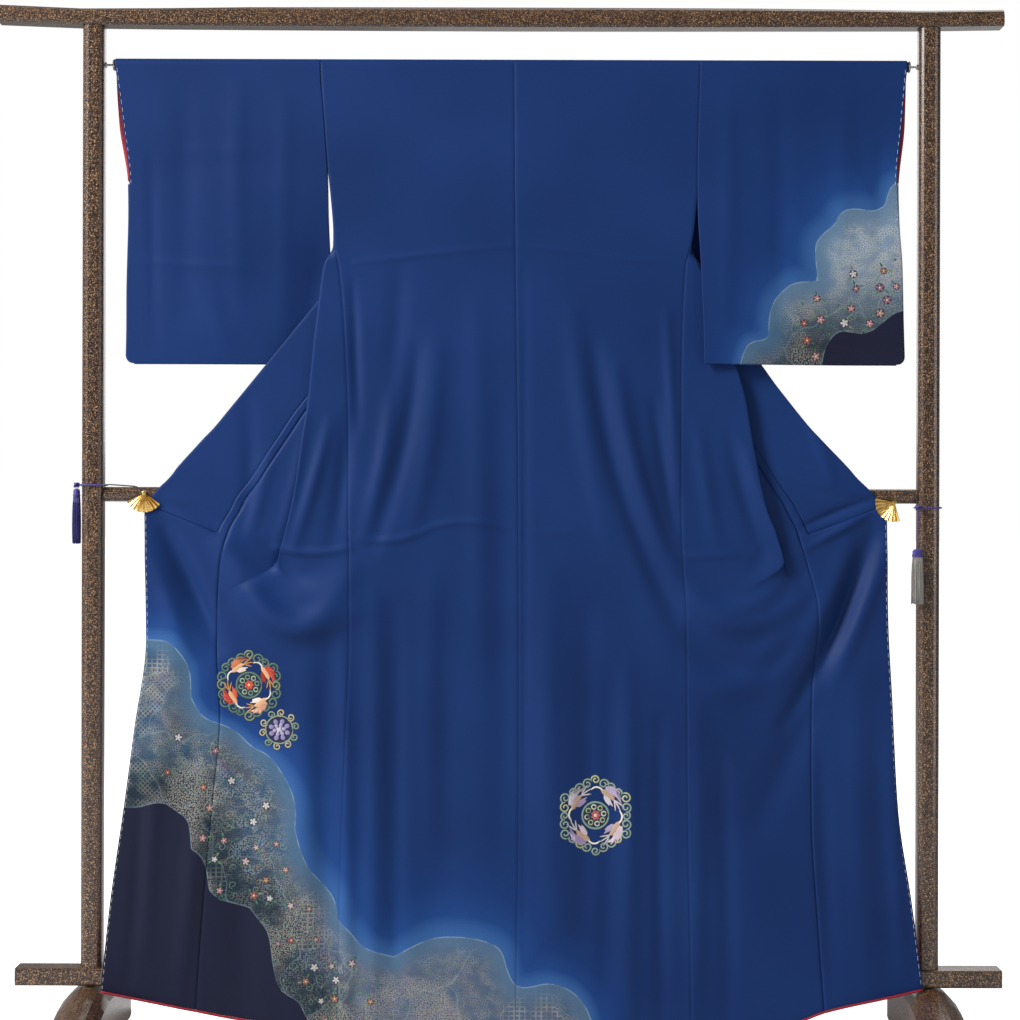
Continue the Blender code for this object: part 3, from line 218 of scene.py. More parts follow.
SLEEVE_COLUMNS = (
    "drop", "inner", "near_outer", "far_outer", "mid_in", "mid_out", "half_in", "half_out",
)
SLEEVES = {
    "left": (
        (0, 317, 652, 652, 0, 0, 9.9, 9.9), (9.9, 317, 651, 652, 0, 0, 9.9, 9.9),
        (102, 310.1, 639, 647, -1.6, 0, 10.6, 8.6), (205, 304, 628, 631, -4.9, 0, 9.7, 3.2),
        (260, 303.2, 629, 629, 1.0, 0.5, 8.0, 2.6), (337, 300, 631, 631, 6.5, 1.5, 4.8, 2.4),
        (385, 298, 632, 632, 8.8, 2.0, 4.4, 2.4), (430, 297, 632, 632, 8.8, 2.0, 4.4, 2.4),
        (497, 297, 633, 633, 8.0, 2.0, 3.0, 2.0),
    ),
    "right": (
        (0, 304, 642, 642, 0, 0, 9.9, 9.9), (9.9, 304, 641, 642, 0, 0, 9.9, 9.9),
        (102, 301.3, 633, 640, -1.6, 0, 10.6, 8.6), (205, 299.4, 625, 629, -5.1, -2, 9.7, 3.2),
        (260, 301, 628, 628, -16.0, -4.0, 6.5, 2.6),
        (337, 305, 633, 633, -27.0, -6.0, 4.6, 2.4),
        (430, 309, 635, 635, -31.5, -8.0, 4.4, 2.4),
        (497, 311, 637, 637, -32.5, -9.0, 3.0, 2.0),
    ),
}
SLEEVE_BOTTOM = 497.0
SLEEVE_BELLY = 3.0
CUFF_BOTTOM = 205.0
SLEEVE_CORNER = 13.0
SLEEVE_EDGE = 1.2
CUFF_LINING_WIDTH = 14.0
NEAR_WALL_LAPS = 1.5
NEAR_WALL_LAP_DROPS = (215, 260)
# Drops between which the sleeve's creases and its belly set in, the belly ends, and it closes
SLEEVE_CREASES_FROM = (12, 60)
BELLY_FROM = (20, 150)
BELLY_TO = (440, 497)
SLEEVE_CLOSES = (488, 497)
SLEEVE_EDGE_SHARES = (0.004, 0.012, 0.988, 0.996)
SLEEVE_CORNER_ROWS = (10, 7, 4.5, 2.5, 1, 0)
FACING_DROPS = (188.0, 384.0)
HEM_ROLL = (2.6, 4.2)
# Basting: each stitch's ends dive back into the cloth
STITCH_PITCH = 13.0
STITCH_LENGTH = 7.5
STITCH_DIVES = 0.45
THREAD_WIDTH = 0.55

# The dyed cloud band: its upper edge with how far the paler blue spreads beyond it, and the
# lower edge where it meets the night blue field. A point given twice makes a corner. On the
# skirt, then on the right sleeve.
SKIRT_CLOUD = (
    (-680, 946, 60), (-600, 948, 60), (-560, 949, 60), (-546, 962, 55), (-532, 980, 50),
    (-523, 1000, 48), (-522, 1042, 45), (-522, 1042, 45), (-512, 1060, 45), (-500, 1076, 45),
    (-470, 1086, 45), (-470, 1086, 45), (-448, 1096, 45), (-424, 1122, 50), (-394, 1134, 60),
    (-374, 1162, 70), (-357, 1192, 80), (-350, 1220, 90), (-352, 1252, 95), (-352, 1252, 95),
    (-344, 1286, 100), (-330, 1319, 100), (-304, 1346, 100), (-286, 1370, 95), (-282, 1402, 90),
    (-282, 1402, 90), (-262, 1420, 90), (-248, 1440, 90), (-228, 1451, 85), (-196, 1460, 75),
    (-190, 1461, 75), (-190, 1461, 75), (-172, 1450, 75), (-152, 1440, 85), (-130, 1431, 95),
    (-100, 1428, 95), (-64, 1430, 95), (-34, 1438, 90), (-16, 1450, 85), (-10, 1474, 80),
    (-10, 1474, 80), (0, 1502, 75), (14, 1511, 70), (36, 1508, 70), (56, 1502, 70),
    (80, 1506, 65), (104, 1520, 60), (120, 1540, 55), (130, 1566, 50), (144, 1610, 45),
    (150, 1650, 45),
)
SKIRT_NIGHT = (
    (-680, 1216), (-630, 1220), (-604, 1220), (-580, 1211), (-562, 1213), (-546, 1226),
    (-530, 1234), (-522, 1252), (-520, 1286), (-520, 1286), (-506, 1296), (-496, 1314),
    (-491, 1354), (-491, 1354), (-476, 1368), (-452, 1375), (-426, 1382), (-426, 1382),
    (-412, 1400), (-393, 1422), (-388, 1470), (-380, 1508), (-366, 1522), (-344, 1532),
    (-336, 1552), (-324, 1572), (-316, 1640),
)
SLEEVE_CLOUD = (
    (356, 560, 45), (364, 512, 45), (373, 478, 50), (382, 463, 55), (400, 460, 60),
    (414, 456, 65), (414, 456, 65), (414, 420, 70), (422, 395, 75), (436, 380, 80),
    (452, 366, 85), (478, 363, 88), (496, 362, 90), (496, 362, 90), (490, 318, 90),
    (493, 295, 90), (508, 281, 90), (524, 268, 90), (524, 268, 90), (530, 252, 90),
    (543, 244, 90), (562, 243, 90), (584, 247, 85), (598, 243, 80), (606, 236, 75),
    (606, 236, 75), (613, 208, 72), (626, 198, 70), (660, 176, 70),
)
SLEEVE_NIGHT = (
    (496, 560), (501, 500), (506, 472), (516, 454), (530, 442), (550, 444), (568, 448),
    (586, 441), (600, 430), (616, 415), (636, 408), (670, 396),
)
# A far point on the night field's side closes each outline.
BANDS = {
    "skirt": (SKIRT_CLOUD, SKIRT_NIGHT, (-900, 1800)),
    "sleeve": (SLEEVE_CLOUD, SLEEVE_NIGHT, (900, 700)),
}
# What the cloth's points know of the band, and the distance given where there is none
BAND_PLACES = ("to_cloud", "to_night", "glow")
NO_BAND = (-500.0, -500.0, 0.0)


def through(points_x, points_y):
    """A smooth curve through the points that never overshoots them (monotone cubic)."""
    xs = np.asarray(points_x, float)
    ys = np.asarray(points_y, float)
    slope = np.diff(ys) / np.diff(xs)
    tangent = np.concatenate([[slope[0]], np.zeros(len(xs) - 2), [slope[-1]]])
    same_way = slope[:-1] * slope[1:] > 0
    harmonic = 2 * slope[:-1] * slope[1:] / np.where(same_way, slope[:-1] + slope[1:], 1)
    tangent[1:-1] = np.where(same_way, harmonic, 0)

    def curve(x):
        """The curve's height at x, level beyond its ends."""
        x = np.clip(np.asarray(x, float), xs[0], xs[-1])
        k = np.clip(np.searchsorted(xs, x) - 1, 0, len(xs) - 2)
        width = xs[k + 1] - xs[k]
        t = (x - xs[k]) / width
        start = ys[k] * (1 + 2 * t) * (1 - t) ** 2 + tangent[k] * width * t * (1 - t) ** 2
        end = ys[k + 1] * t * t * (3 - 2 * t) + tangent[k + 1] * width * t * t * (t - 1)
        return start + end

    return curve


def curves(columns, rows):
    """A curve against the first column for each of the table's other columns."""
    table = np.array(rows, float).T
    return {name: through(table[0], table[k + 1]) for k, name in enumerate(columns[1:])}


SIDE_CURVES = {side: curves(SIDE_COLUMNS, rows) for side, rows in SIDES.items()}
SLEEVE_CURVES = {side: curves(SLEEVE_COLUMNS, rows) for side, rows in SLEEVES.items()}
DEPTH = curves(DEPTH_COLUMNS, DEPTHS)
HEM_CURVES = {side: through(*zip(*rows)) for side, rows in HEMS.items()}
folded_share = through(*zip(*FOLDED))
parted_share = through(*zip(*PARTED))
centre_x = through(CENTRE_DROP, CENTRE_X)
okumi_sliver = through(*zip(*OKUMI_SLIVER))


def smoothstep(x, low, high):
    """A soft step from 0 at low to 1 at high."""
    t = np.clip((x - low) / (high - low), 0, 1)
    return t * t * (3 - 2 * t)


def to_line(x, drop, line):
    """Each point's distance to a line of points, and how far along it that lies, 0 to 1."""
    start = line[:-1]
    span = np.diff(line, axis=0)
    from_x = x[..., None] - start[:, 0]
    from_drop = drop[..., None] - start[:, 1]
    t = (from_x * span[:, 0] + from_drop * span[:, 1]) / (span ** 2).sum(1)
    t = np.clip(t, 0, 1)
    distance = np.hypot(from_x - t * span[:, 0], from_drop - t * span[:, 1])
    nearest = distance.argmin(-1)[..., None]
    along = (nearest + np.take_along_axis(t, nearest, -1)) / len(span)
    return np.take_along_axis(distance, nearest, -1)[..., 0], along[..., 0]


def fold_depth(x, drop, folds):
    """How far the named folds push points along Y; towards the viewer is negative."""
    x = np.asarray(x, float)
    drop = np.asarray(drop, float)
    depth = np.zeros(x.shape)
    t = np.linspace(0, 1, LINE_STEPS)
    for row in folds:
        fold = dict(zip(FOLD_COLUMNS, row))
        along = np.stack([(1 - t) ** 2, 2 * t * (1 - t), t ** 2], 1)
        turns = np.array([[fold[f"x{k}"], fold[f"drop{k}"]] for k in range(3)])
        distance, share = to_line(x, drop, along @ turns)
        # A fold is deepest in its middle and fades to about a third at its ends
        taper = np.sin(math.pi * (0.12 + 0.76 * share))
        depth -= fold["height"] * taper * np.exp(-(distance / fold["width"]) ** 2)
    return depth


def section(side, drop):
    """A front's path at one level, as fine points (out, depth) from side seam to free edge."""
    at = {name: float(curve(drop)) for name, curve in SIDE_CURVES[side].items()}
    deep = {name: float(curve(drop)) for name, curve in DEPTH.items()}
    lip = at["lip"]
    tuck = max(2 * lip - at["side"] + at["edge"] - FRONT_WIDTH - at["outer"], 2) / 2
    tuck += (lip - tuck) * float(smoothstep(drop, *OVERLAP_ENDS))
    turn_in = min(EASE, (lip - at["side"]) / 2.2)
    turn_out = min(EASE, (lip - tuck) / 2.2)
    run = tuck + turn_out
    outs = [at["side"], lip - turn_in, lip, lip, lip - turn_out, (lip + tuck) / 2, run, tuck]
    outs += [tuck, run] + [run + (at["edge"] - run) * share for share in (0.35, 0.7, 1)]
    near, middle, far = deep["near"], deep["middle"], deep["far"]
    depths = np.array([deep["side"], near, near] + [middle] * 5 + [far] * 5)
    opening = float(np.clip(1 - (lip - at["side"]) / LIP_OPENS, 0, 1))
    depths[:4] += (np.linspace(deep["side"], middle, 4) - depths[:4]) * opening
    closing = float(np.clip(1 - (lip - tuck) / TUCK_CLOSES, 0, 1))
    depths[2:9] += (np.linspace(near, far, 7) - depths[2:9]) * closing
    flat_outs = np.linspace(at["side"], at["edge"], len(outs))
    flat_depths = np.linspace(deep["side"], far, len(outs))
    control = np.stack([
        flat_outs + (np.array(outs) - flat_outs) * float(folded_share(drop)),
        flat_depths + (depths - flat_depths) * float(parted_share(drop)),
    ], 1)
    control = np.vstack([control[:1], control, control[-1:]])
    t = np.linspace(0, 1, SPAN_POINTS, endpoint=False)[:, None]
    spans = [
        0.5 * (1 - t) ** 2 * a + (0.5 + t * (1 - t)) * b + 0.5 * t * t * c
        for a, b, c in zip(control[:-2], control[1:-1], control[2:])
    ]
    return np.vstack(spans + [control[-1:]])


class Level:
    """One level of a front: its path, measured by its length from the side seam."""

    def __init__(self, side, drop):
        self.drop = drop
        self.points = section(side, drop)
        self.arc = np.concatenate([[0], np.cumsum(np.hypot(*np.diff(self.points, axis=0).T))])
        self.seam = self.arc[-1] - float(SIDE_CURVES[side]["outer"](drop))

    def mark(self, spans):
        """The length to a place counted in spans of the path's curve."""
        return float(np.interp(spans * SPAN_POINTS, np.arange(len(self.arc)), self.arc))

    def at(self, lengths):
        """Points (out, depth) at lengths from the side seam."""
        return np.stack([np.interp(lengths, self.arc, self.points[:, k]) for k in (0, 1)], 1)

    def front(self):
        """Lengths to the body's columns, from the side seam to the okumi seam."""
        end = self.seam - SEAM_OFFSET
        start = self.mark(3) if self.drop <= SEAM_CROSSES_TUCK else 0.0
        even = np.linspace(start, end, FRONT_COLUMNS + 1)
        plain_count = len(LIP_MARKS)
        if self.drop < SEAM_CROSSES_TUCK:
            return even
        if self.drop == SEAM_CROSSES_TUCK:
            approach = end - np.array(TUCK_APPROACH)
            plain = np.linspace(start, approach[0], plain_count + 1)[:-1]
            return np.concatenate([plain, approach])
        tuck = [self.mark(spans) for spans in TUCK_MARKS]
        first = np.linspace(start, tuck[0], plain_count + 1)[:-1]
        if self.drop >= FIRST_LIP:
            first = np.array([self.mark(spans) for spans in LIP_MARKS])
            first[0] = start
        folds = np.concatenate([first, tuck])
        folds *= min(1, (end - 12) / folds[-1])
        rest = np.linspace(folds[-1], end, FRONT_COLUMNS + 2 - len(folds))[1:]
        tucked = np.concatenate([folds, rest])
        return tucked + (even - tucked) * smoothstep(self.drop, 870, 1160)

    def collar(self, start, end):
        """Lengths to the collar's columns, from its seam to its free edge."""
        if self.drop < SEAM_CROSSES_TUCK:
            folds = [self.mark(spans) for spans in COLLAR_MARKS]
            rest = np.linspace(folds[-1], end, COLLAR_COLUMNS + 1 - len(folds))[1:]
            return np.concatenate([[start], folds, rest])
        if self.drop < FIRST_LIP:
            leaving = start + np.array(TUCK_LEAVING)
            rest = np.linspace(leaving[-1], end, COLLAR_COLUMNS + 2 - len(leaving))[1:]
            return np.concatenate([leaving, rest])
        return np.linspace(start, end, COLLAR_COLUMNS + 1)


def placed(side, out, depth, drop):
    """Garment points in millimetres, with the folds, the creases and the hem's rise put in."""
    x = SIGN[side] * out
    rise = HEM_CURVES[side](out) - LENGTH
    fall = drop + rise * smoothstep(drop, HEM_EASE_FROM, LENGTH)
    moved = fold_depth(x, fall, FOLDS) + fold_depth(x, fall, CREASES)
    return np.stack([x, depth + moved, SHOULDER - fall], -1)


def edge_roll(distance):
    """The soft turn of a sewn edge: how far it goes back at a distance from the seam."""
    return 0.8 * np.exp(-(np.asarray(distance) / 2.2) ** 2)


def panel_row(level, columns, marks, hem):
    """Places across and depths of a front panel's row, with the soft turn of its edges."""
    lengths = np.interp(columns, np.arange(len(marks)), marks)
    out, depth = level.at(lengths).T
    from_edge = np.minimum(lengths - lengths[0], lengths[-1] - lengths)
    return out, depth + edge_roll(from_edge) + edge_roll(hem - level.drop)


def over_rod(near, far):
    """Rows that run round the rod, from the near wall's top row to the far wall's."""
    rows = []
    for angle in np.linspace(0, math.pi, WRAP_ROWS + 2)[1:]:
        row = near + (far - near) * (1 - math.cos(angle)) / 2
        row[:, 1] = -WRAP * math.cos(angle)
        row[:, 2] = ROD_Z + WRAP * math.sin(angle)
        rows.append(row)
    return rows


def fine_columns(widths):
    """Places between coarse columns, so that none lies wider apart than COLUMN_STEP."""
    places = []
    for k, width in enumerate(widths):
        count = int(np.clip(math.ceil(width / COLUMN_STEP), 1, 24))
        places.append(k + np.arange(count) / count)
    places.append([len(widths)])
    first = [edge / widths[0] for edge in EDGE_ROWS if edge < widths[0]]
    last = [len(widths) - edge / widths[-1] for edge in EDGE_ROWS if edge < widths[-1]]
    return np.unique(np.round(np.concatenate(places + [first, last]), 5))


def dense_drops(low, high):
    """Drops of a piece's rows: the even ones, its ends, and two more close to each end."""
    even = np.arange(low, high, ROW_STEP)
    for start, end in CREASED_BANDS:
        plain = even[(even < start) | (even > end)]
        even = np.sort(np.concatenate([plain, np.arange(start, end + 1, CREASED_STEP)]))
    even = even[(even >= low) & (even < high)]
    ends = [low + edge for edge in EDGE_ROWS] + [high - edge for edge in EDGE_ROWS] + [high]
    inner = even[(even == low) | ((even > low + 6) & (even < high - 6))]
    return np.sort(np.concatenate([inner, ends]))


def grid(rows, columns, start=0):
    """The numbers of a grid's points, row by row."""
    return start + np.arange(rows * columns).reshape(rows, columns)


def quads(number):
    """The faces between a grid's neighbouring points, from their numbers."""
    corners = number[:-1, :-1], number[:-1, 1:], number[1:, 1:], number[1:, :-1]
    return np.stack(corners, -1).reshape(-1, 4)


def roll_faces(number):
    """The faces of a closed roll, from the numbers of its points ring by ring."""
    around = np.hstack([number, number[:, :1]])
    return quads(around).tolist() + [number[0, ::-1].tolist(), number[-1].tolist()]


# Finishes

SMOOTH = {"interpolation_type": "SMOOTHSTEP"}
FLAT = {"voronoi_dimensions": "2D"}
TIMES = {"operation": "MULTIPLY"}
# A diagonal wave texture has a ridge every RIDGE metres at a scale of 1
RIDGE = 2 * math.pi / (10 * math.sqrt(3))


def linear(code):
    """A colour as shaders take it, from its sRGB hex code."""
    parts = [int(code[k:k + 2], 16) / 255 for k in (1, 3, 5)]
    return tuple(c / 12.92 if c <= 0.04045 else ((c + 0.055) / 1.055) ** 2.4 for c in parts) + (1,)


def every(size):
    """A texture's scale, from the real size in millimetres of what it repeats."""
    return 1 / (size * MM)


def feed(node, inputs):
    """Sets a node's named or numbered inputs, to values or to nodes and outputs to link."""
    for name, value in inputs.items():
        if isinstance(value, bpy.types.Node):
            value = value.outputs[0]
        if isinstance(value, bpy.types.NodeSocket):
            node.id_data.links.new(value, node.inputs[name])
        else:
            node.inputs[name].default_value = value


def put(tree, kind, inputs=(), stops=(), **settings):
    """Adds a node with its settings. Inputs have names, or stand in the node's own order."""
    made = tree.nodes.new("ShaderNode" + kind)
    for name, value in settings.items():
        setattr(made, name, value)
    if stops:
        elements = made.color_ramp.elements
        while len(elements) < len(stops):
            elements.new(0.5)
        for element, (place, code) in zip(elements, stops):
            element.position = place
            element.color = linear(code)
    feed(made, inputs if isinstance(inputs, dict) else dict(enumerate(inputs)))
    return made


def new_finish(name, sockets):
    """A material with its own Principled shader, and the values set on its sockets."""
    made = bpy.data.materials.new(name)
    made.use_nodes = True
    shader = made.node_tree.nodes["Principled BSDF"]
    feed(shader, sockets)
    return made, made.node_tree, shader


def flat_place(tree):
    """The cloth's own plane as a texture place, so that patterns run on across its seams."""
    place = put(tree, "SeparateXYZ", (put(tree, "TexCoord").outputs["Object"],))
    return put(tree, "CombineXYZ", (place.outputs[0], place.outputs[2])).outputs[0]


def crepe_grain(tree, shader, place):
    """Crepe's pebbled face. Its real grain of 0.5 mm is drawn at 1.6 mm, so that it shows."""
    pebbles = put(tree, "TexNoise", {"Vector": place, "Scale": every(1.6)})
    waves = put(tree, "TexNoise", {"Vector": place, "Scale": every(45.5), "Detail": 3.0})
    relief = put(tree, "Math", (waves, 0.8, pebbles), operation="MULTIPLY_ADD")
    bump = put(tree, "Bump", {"Strength": 0.22, "Distance": 0.7 * MM, "Height": relief})
    feed(shader, {"Normal": bump})
    return pebbles


def royal_ground(tree, place, glow):
    """The blue outside the band, and the paler blue that is let out beyond the band's edge."""
    cloudy = put(tree, "TexNoise", {"Vector": place, "Scale": every(312.5)})
    royal = put(tree, "ValToRGB", (cloudy,), ((0.3, "#112c5f"), (0.7, "#16346b")))
    let_out = put(tree, "ValToRGB", (glow,), (
        (0.0, "#133064"), (0.45, "#15366f"), (0.8, "#1b417f"), (1.0, "#355f99"),
    ))
    near = put(tree, "MapRange", (glow, 0.02, 0.3), **SMOOTH)
    return put(tree, "MixRGB", (near, royal, let_out))


def lines(tree, across, pitch, width):
    """Thin lines along a coordinate, pitch millimetres apart: 1 on a line and 0 between."""
    turns = put(tree, "Math", (across, pitch * MM), operation="DIVIDE")
    saw = put(tree, "Math", (turns, 0.5), operation="PINGPONG")
    return put(tree, "MapRange", (saw, width / pitch * 0.35, width / pitch, 1, 0), **SMOOTH)


def band_fills(tree, place, patches):
    """The band's fine fillings: net, dots, ladder and lattice, each in its own patches."""
    cells = {"Vector": place, "Scale": every(4)}
    net = put(tree, "TexVoronoi", cells, feature="DISTANCE_TO_EDGE", **FLAT)
    fill = put(tree, "MapRange", (net, 0.06, 0.22, 0.85, 0), **SMOOTH)
    cells = {"Vector": place, "Scale": every(3.333), "Randomness": 0.8}
    dots = put(tree, "TexVoronoi", cells, **FLAT)
    dots = put(tree, "MapRange", (dots, 0.3, 0.5, 1, 0), **SMOOTH)
    across, down, _ = put(tree, "SeparateXYZ", (place,)).outputs
    rising = put(tree, "Math", (across, down), operation="ADD")
    falling = put(tree, "Math", (across, down), operation="SUBTRACT")
    ladder = (lines(tree, across, 8.8, 2.0), lines(tree, down, 7.2, 1.7))
    lattice = (lines(tree, rising, 7.8, 1.9), lines(tree, falling, 7.8, 1.9))
    ladder, lattice = (
        put(tree, "Math", crossed, operation="MAXIMUM") for crossed in (ladder, lattice)
    )
    kind = put(tree, "SeparateColor", (patches.outputs["Color"],))
    for other, start in ((dots, 0.42), (ladder, 0.72), (lattice, 0.88)):
        chosen = put(tree, "Math", (kind, start), operation="GREATER_THAN")
        fill = put(tree, "MixRGB", (chosen, fill, other))
    return fill


def cloud_band(tree, place, to_cloud, from_night, worn):
    """The band's colours: a misty ground, fine fillings in pale thread, and a soft pale rim.

    It is darker beside the night field, a little paler near the hem, and palest on the sleeve.
    """
    height = put(tree, "SeparateXYZ", (place,)).outputs[1]
    drift = put(tree, "TexNoise", {"Vector": place, "Scale": every(76.9), "Detail": 3.0})
    mist = put(tree, "ValToRGB", (drift,), (
        (0.3, "#263e59"), (0.43, "#314d6c"), (0.54, "#43546a"), (0.63, "#4c4f60"),
        (0.72, "#354e6b"),
    ))
    low = put(tree, "MapRange", (height, 0.14, 0.32, 0.4, 0), **SMOOTH)
    dark_side = put(tree, "MapRange", (from_night, 25, 110, 0.9, 0), **SMOOTH)
    on_sleeve = put(tree, "MapRange", (height, 1.12, 1.3, 0, 0.62), **SMOOTH)

    tint = put(tree, "TexNoise", {"Vector": place, "Scale": every(33.3)})
    thread = put(tree, "ValToRGB", (tint,), (
        (0.3, "#8b9fac"), (0.42, "#9a988c"), (0.5, "#6c857c"), (0.57, "#9b8b75"),
        (0.64, "#8996a2"), (0.72, "#9a8687"),
    ))
    thread = put(tree, "MixRGB", (on_sleeve, thread, linear("#e6e6dc")))

    warp = put(tree, "TexNoise", {"Vector": place, "Scale": every(62.5), "Detail": 1.0})
    bent = put(
        tree, "VectorMath", (warp.outputs["Color"], (0.07, 0.07, 0), place),
        operation="MULTIPLY_ADD",
    )
    pieced = {"Vector": bent, "Scale": every(105.3), "Randomness": 0.95}
    patches = put(tree, "TexVoronoi", pieced, **FLAT)
    borders = put(tree, "TexVoronoi", pieced, feature="DISTANCE_TO_EDGE", **FLAT)
    borders = put(tree, "MapRange", (borders, 0.004, 0.014, 0.3, 0), **SMOOTH)
    grains = {"Vector": place, "Scale": every(2.778), "Randomness": 0.9}
    stipple = put(tree, "TexVoronoi", grains, **FLAT)
    stipple = put(tree, "MapRange", (stipple, 0.28, 0.42, 0.75, 0), **SMOOTH)
    gathered = put(tree, "TexNoise", {"Vector": place, "Scale": every(117.6)})
    gathered = put(tree, "MapRange", (gathered, 0.5, 0.62), **SMOOTH)
    inner = put(tree, "MapRange", (to_cloud, 4, 38, 0.12, 0.72), **SMOOTH)
    near_night = put(tree, "MapRange", (from_night, 15, 90, 0.42, 1), **SMOOTH)
    rim = put(tree, "MapRange", (to_cloud, 0, 46, 0.85, 0), **SMOOTH)
    misty = put(tree, "Math", (drift, 0.25), operation="ADD")

    coloured = mist
    for code, *shares in (
        (linear("#68708a"), low),
        (linear("#1a2833"), dark_side),
        (linear("#8ba2bb"), on_sleeve),
        (thread, band_fills(tree, place, patches), worn, inner, near_night),
        (linear("#b9ada0"), stipple, gathered, inner),
        (linear("#9db5bd"), borders, inner),
        (linear("#4e7292"), rim, misty),
    ):
        share = shares[0]
        for other in shares[1:]:
            share = put(tree, "Math", (share, other), **TIMES)
        coloured = put(tree, "MixRGB", (share, coloured, code))
    return coloured


def silk_crepe():
    """Dyed silk crepe: a soft pebbled sheen, royal blue, with the cloud band dyed in.

    The band's places come from the cloth's own attributes: to_cloud and to_night are
    millimetres inside the band's upper and lower edge, and glow is how far the dye is let
    out pale beyond the upper edge.
    """
    finish, tree, shader = new_finish(
        "silk_crepe_dyed_blue", {"Roughness": 0.55, "IOR": 1.5, "Specular IOR Level": 0.14},
    )
    place = flat_place(tree)
    grain = crepe_grain(tree, shader, place)
    to_cloud, to_night, glow = (
        put(tree, "Attribute", attribute_name=name).outputs["Fac"] for name in BAND_PLACES
    )
    from_night = put(tree, "Math", (to_night, -1.0), **TIMES)
    wear = put(tree, "TexNoise", {"Vector": place, "Scale": every(20.83)})
    worn = put(tree, "MapRange", (wear, 0.34, 0.58, 0.15, 1), **SMOOTH)
    band = cloud_band(tree, place, to_cloud, from_night, worn)
    in_band = put(tree, "MapRange", (to_cloud, -0.6, 0.6), **SMOOTH)
    in_night = put(tree, "MapRange", (to_night, -0.5, 0.5), **SMOOTH)
    dyed = put(tree, "MixRGB", (in_band, royal_ground(tree, place, glow), band))
    dyed = put(tree, "MixRGB", (in_night, dyed, linear("#1d2036")))
    for distance, share in ((to_cloud, 0.36), (to_night, 0.26)):
        away = put(tree, "Math", (distance,), operation="ABSOLUTE")
        outline = put(tree, "MapRange", (away, 0.5, 1.3, share, 0), **SMOOTH)
        outline = put(tree, "Math", (outline, worn), **TIMES)
        dyed = put(tree, "MixRGB", (outline, dyed, linear("#a9c2cc")))
    # Painted shade and highlight: the dyed colour is darker in the crepe's pebbles' hollows and
    # paler on their tops.
    shade = put(tree, "MapRange", (grain, 0.3, 0.7, 0.9, 1.08), **SMOOTH)
    pebble_shaded = put(tree, "VectorMath", {0: dyed, "Scale": shade}, operation="SCALE")
    feed(shader, {"Base Color": pebble_shaded})
    return finish


def silk_lining(name, red_below=None):
    """Plain-woven lining silk, smooth and a little shiny: white, and red below a drop.

    Its real threads, 0.1 mm apart, are drawn at 2 mm, so that they show.
    """
    finish, tree, shader = new_finish(
        name, {"Roughness": 0.45, "IOR": 1.5, "Sheen Weight": 0.2, "Sheen Roughness": 0.35},
    )
    place = flat_place(tree)
    threads = put(tree, "TexNoise", {"Vector": place, "Scale": every(2.08)})
    bump = put(tree, "Bump", {"Strength": 0.12, "Distance": 0.4 * MM, "Height": threads})
    coloured = put(tree, "ValToRGB", (threads,), ((0.3, "#c9cbd0"), (0.7, "#dfe0e2")))
    if red_below:
        height = put(tree, "SeparateXYZ", (place,)).outputs[1]
        seam = (SHOULDER - red_below) * MM
        red = put(tree, "MapRange", (height, seam - MM, seam + MM, 1, 0), **SMOOTH)
        coloured = put(tree, "MixRGB", (red, coloured, linear("#b01830")))
    feed(shader, {"Base Color": coloured, "Normal": bump})
    return finish


def plain_silk(name, code, darker, roughness=0.5, spacing=2.38):
    """Silk of one dye, with the small changes of tone that its threads give.

    The threads are drawn spacing millimetres apart, coarser than real ones, to show.
    """
    finish, tree, shader = new_finish(
        name, {"Roughness": roughness, "IOR": 1.5, "Sheen Weight": 0.25,
               "Sheen Roughness": 0.35},
    )
    place = put(tree, "TexCoord").outputs["Object"]
    threads = put(tree, "TexNoise", {"Vector": place, "Scale": every(spacing)})
    tone = put(tree, "ValToRGB", (threads,), ((0.3, darker), (0.7, code)))
    bump = put(tree, "Bump", {"Strength": 0.25, "Distance": 0.4 * MM, "Height": threads})
    feed(shader, {"Base Color": tone, "Normal": bump})
    return finish


def embroidery_thread():
    """Flat silk stitches: each motif's colour is on its points, and fine ridges catch light.

    Threads of 0.4 mm are drawn as ridges 1.4 mm apart, so that they show.
    """
    finish, tree, shader = new_finish(
        "embroidery_silk_thread",
        {"Roughness": 0.42, "IOR": 1.5, "Sheen Weight": 0.3, "Sheen Roughness": 0.3},
    )
    place = put(tree, "TexCoord").outputs["Object"]
    ridges = put(
        tree, "TexWave", {"Vector": place, "Scale": RIDGE * every(1.4), "Distortion": 3.0},
        bands_direction="DIAGONAL",
    )
    bump = put(tree, "Bump", {"Strength": 0.35, "Distance": 0.3 * MM, "Height": ridges})
    thread = put(tree, "Attribute", attribute_name="thread").outputs["Color"]
    lit = put(tree, "MapRange", (ridges.outputs["Fac"], 0.1, 0.9, 0.82, 1.06), **SMOOTH)
    coloured = put(tree, "VectorMath", {0: thread, "Scale": lit}, operation="SCALE")
    feed(shader, {"Base Color": coloured, "Normal": bump})
    return finish


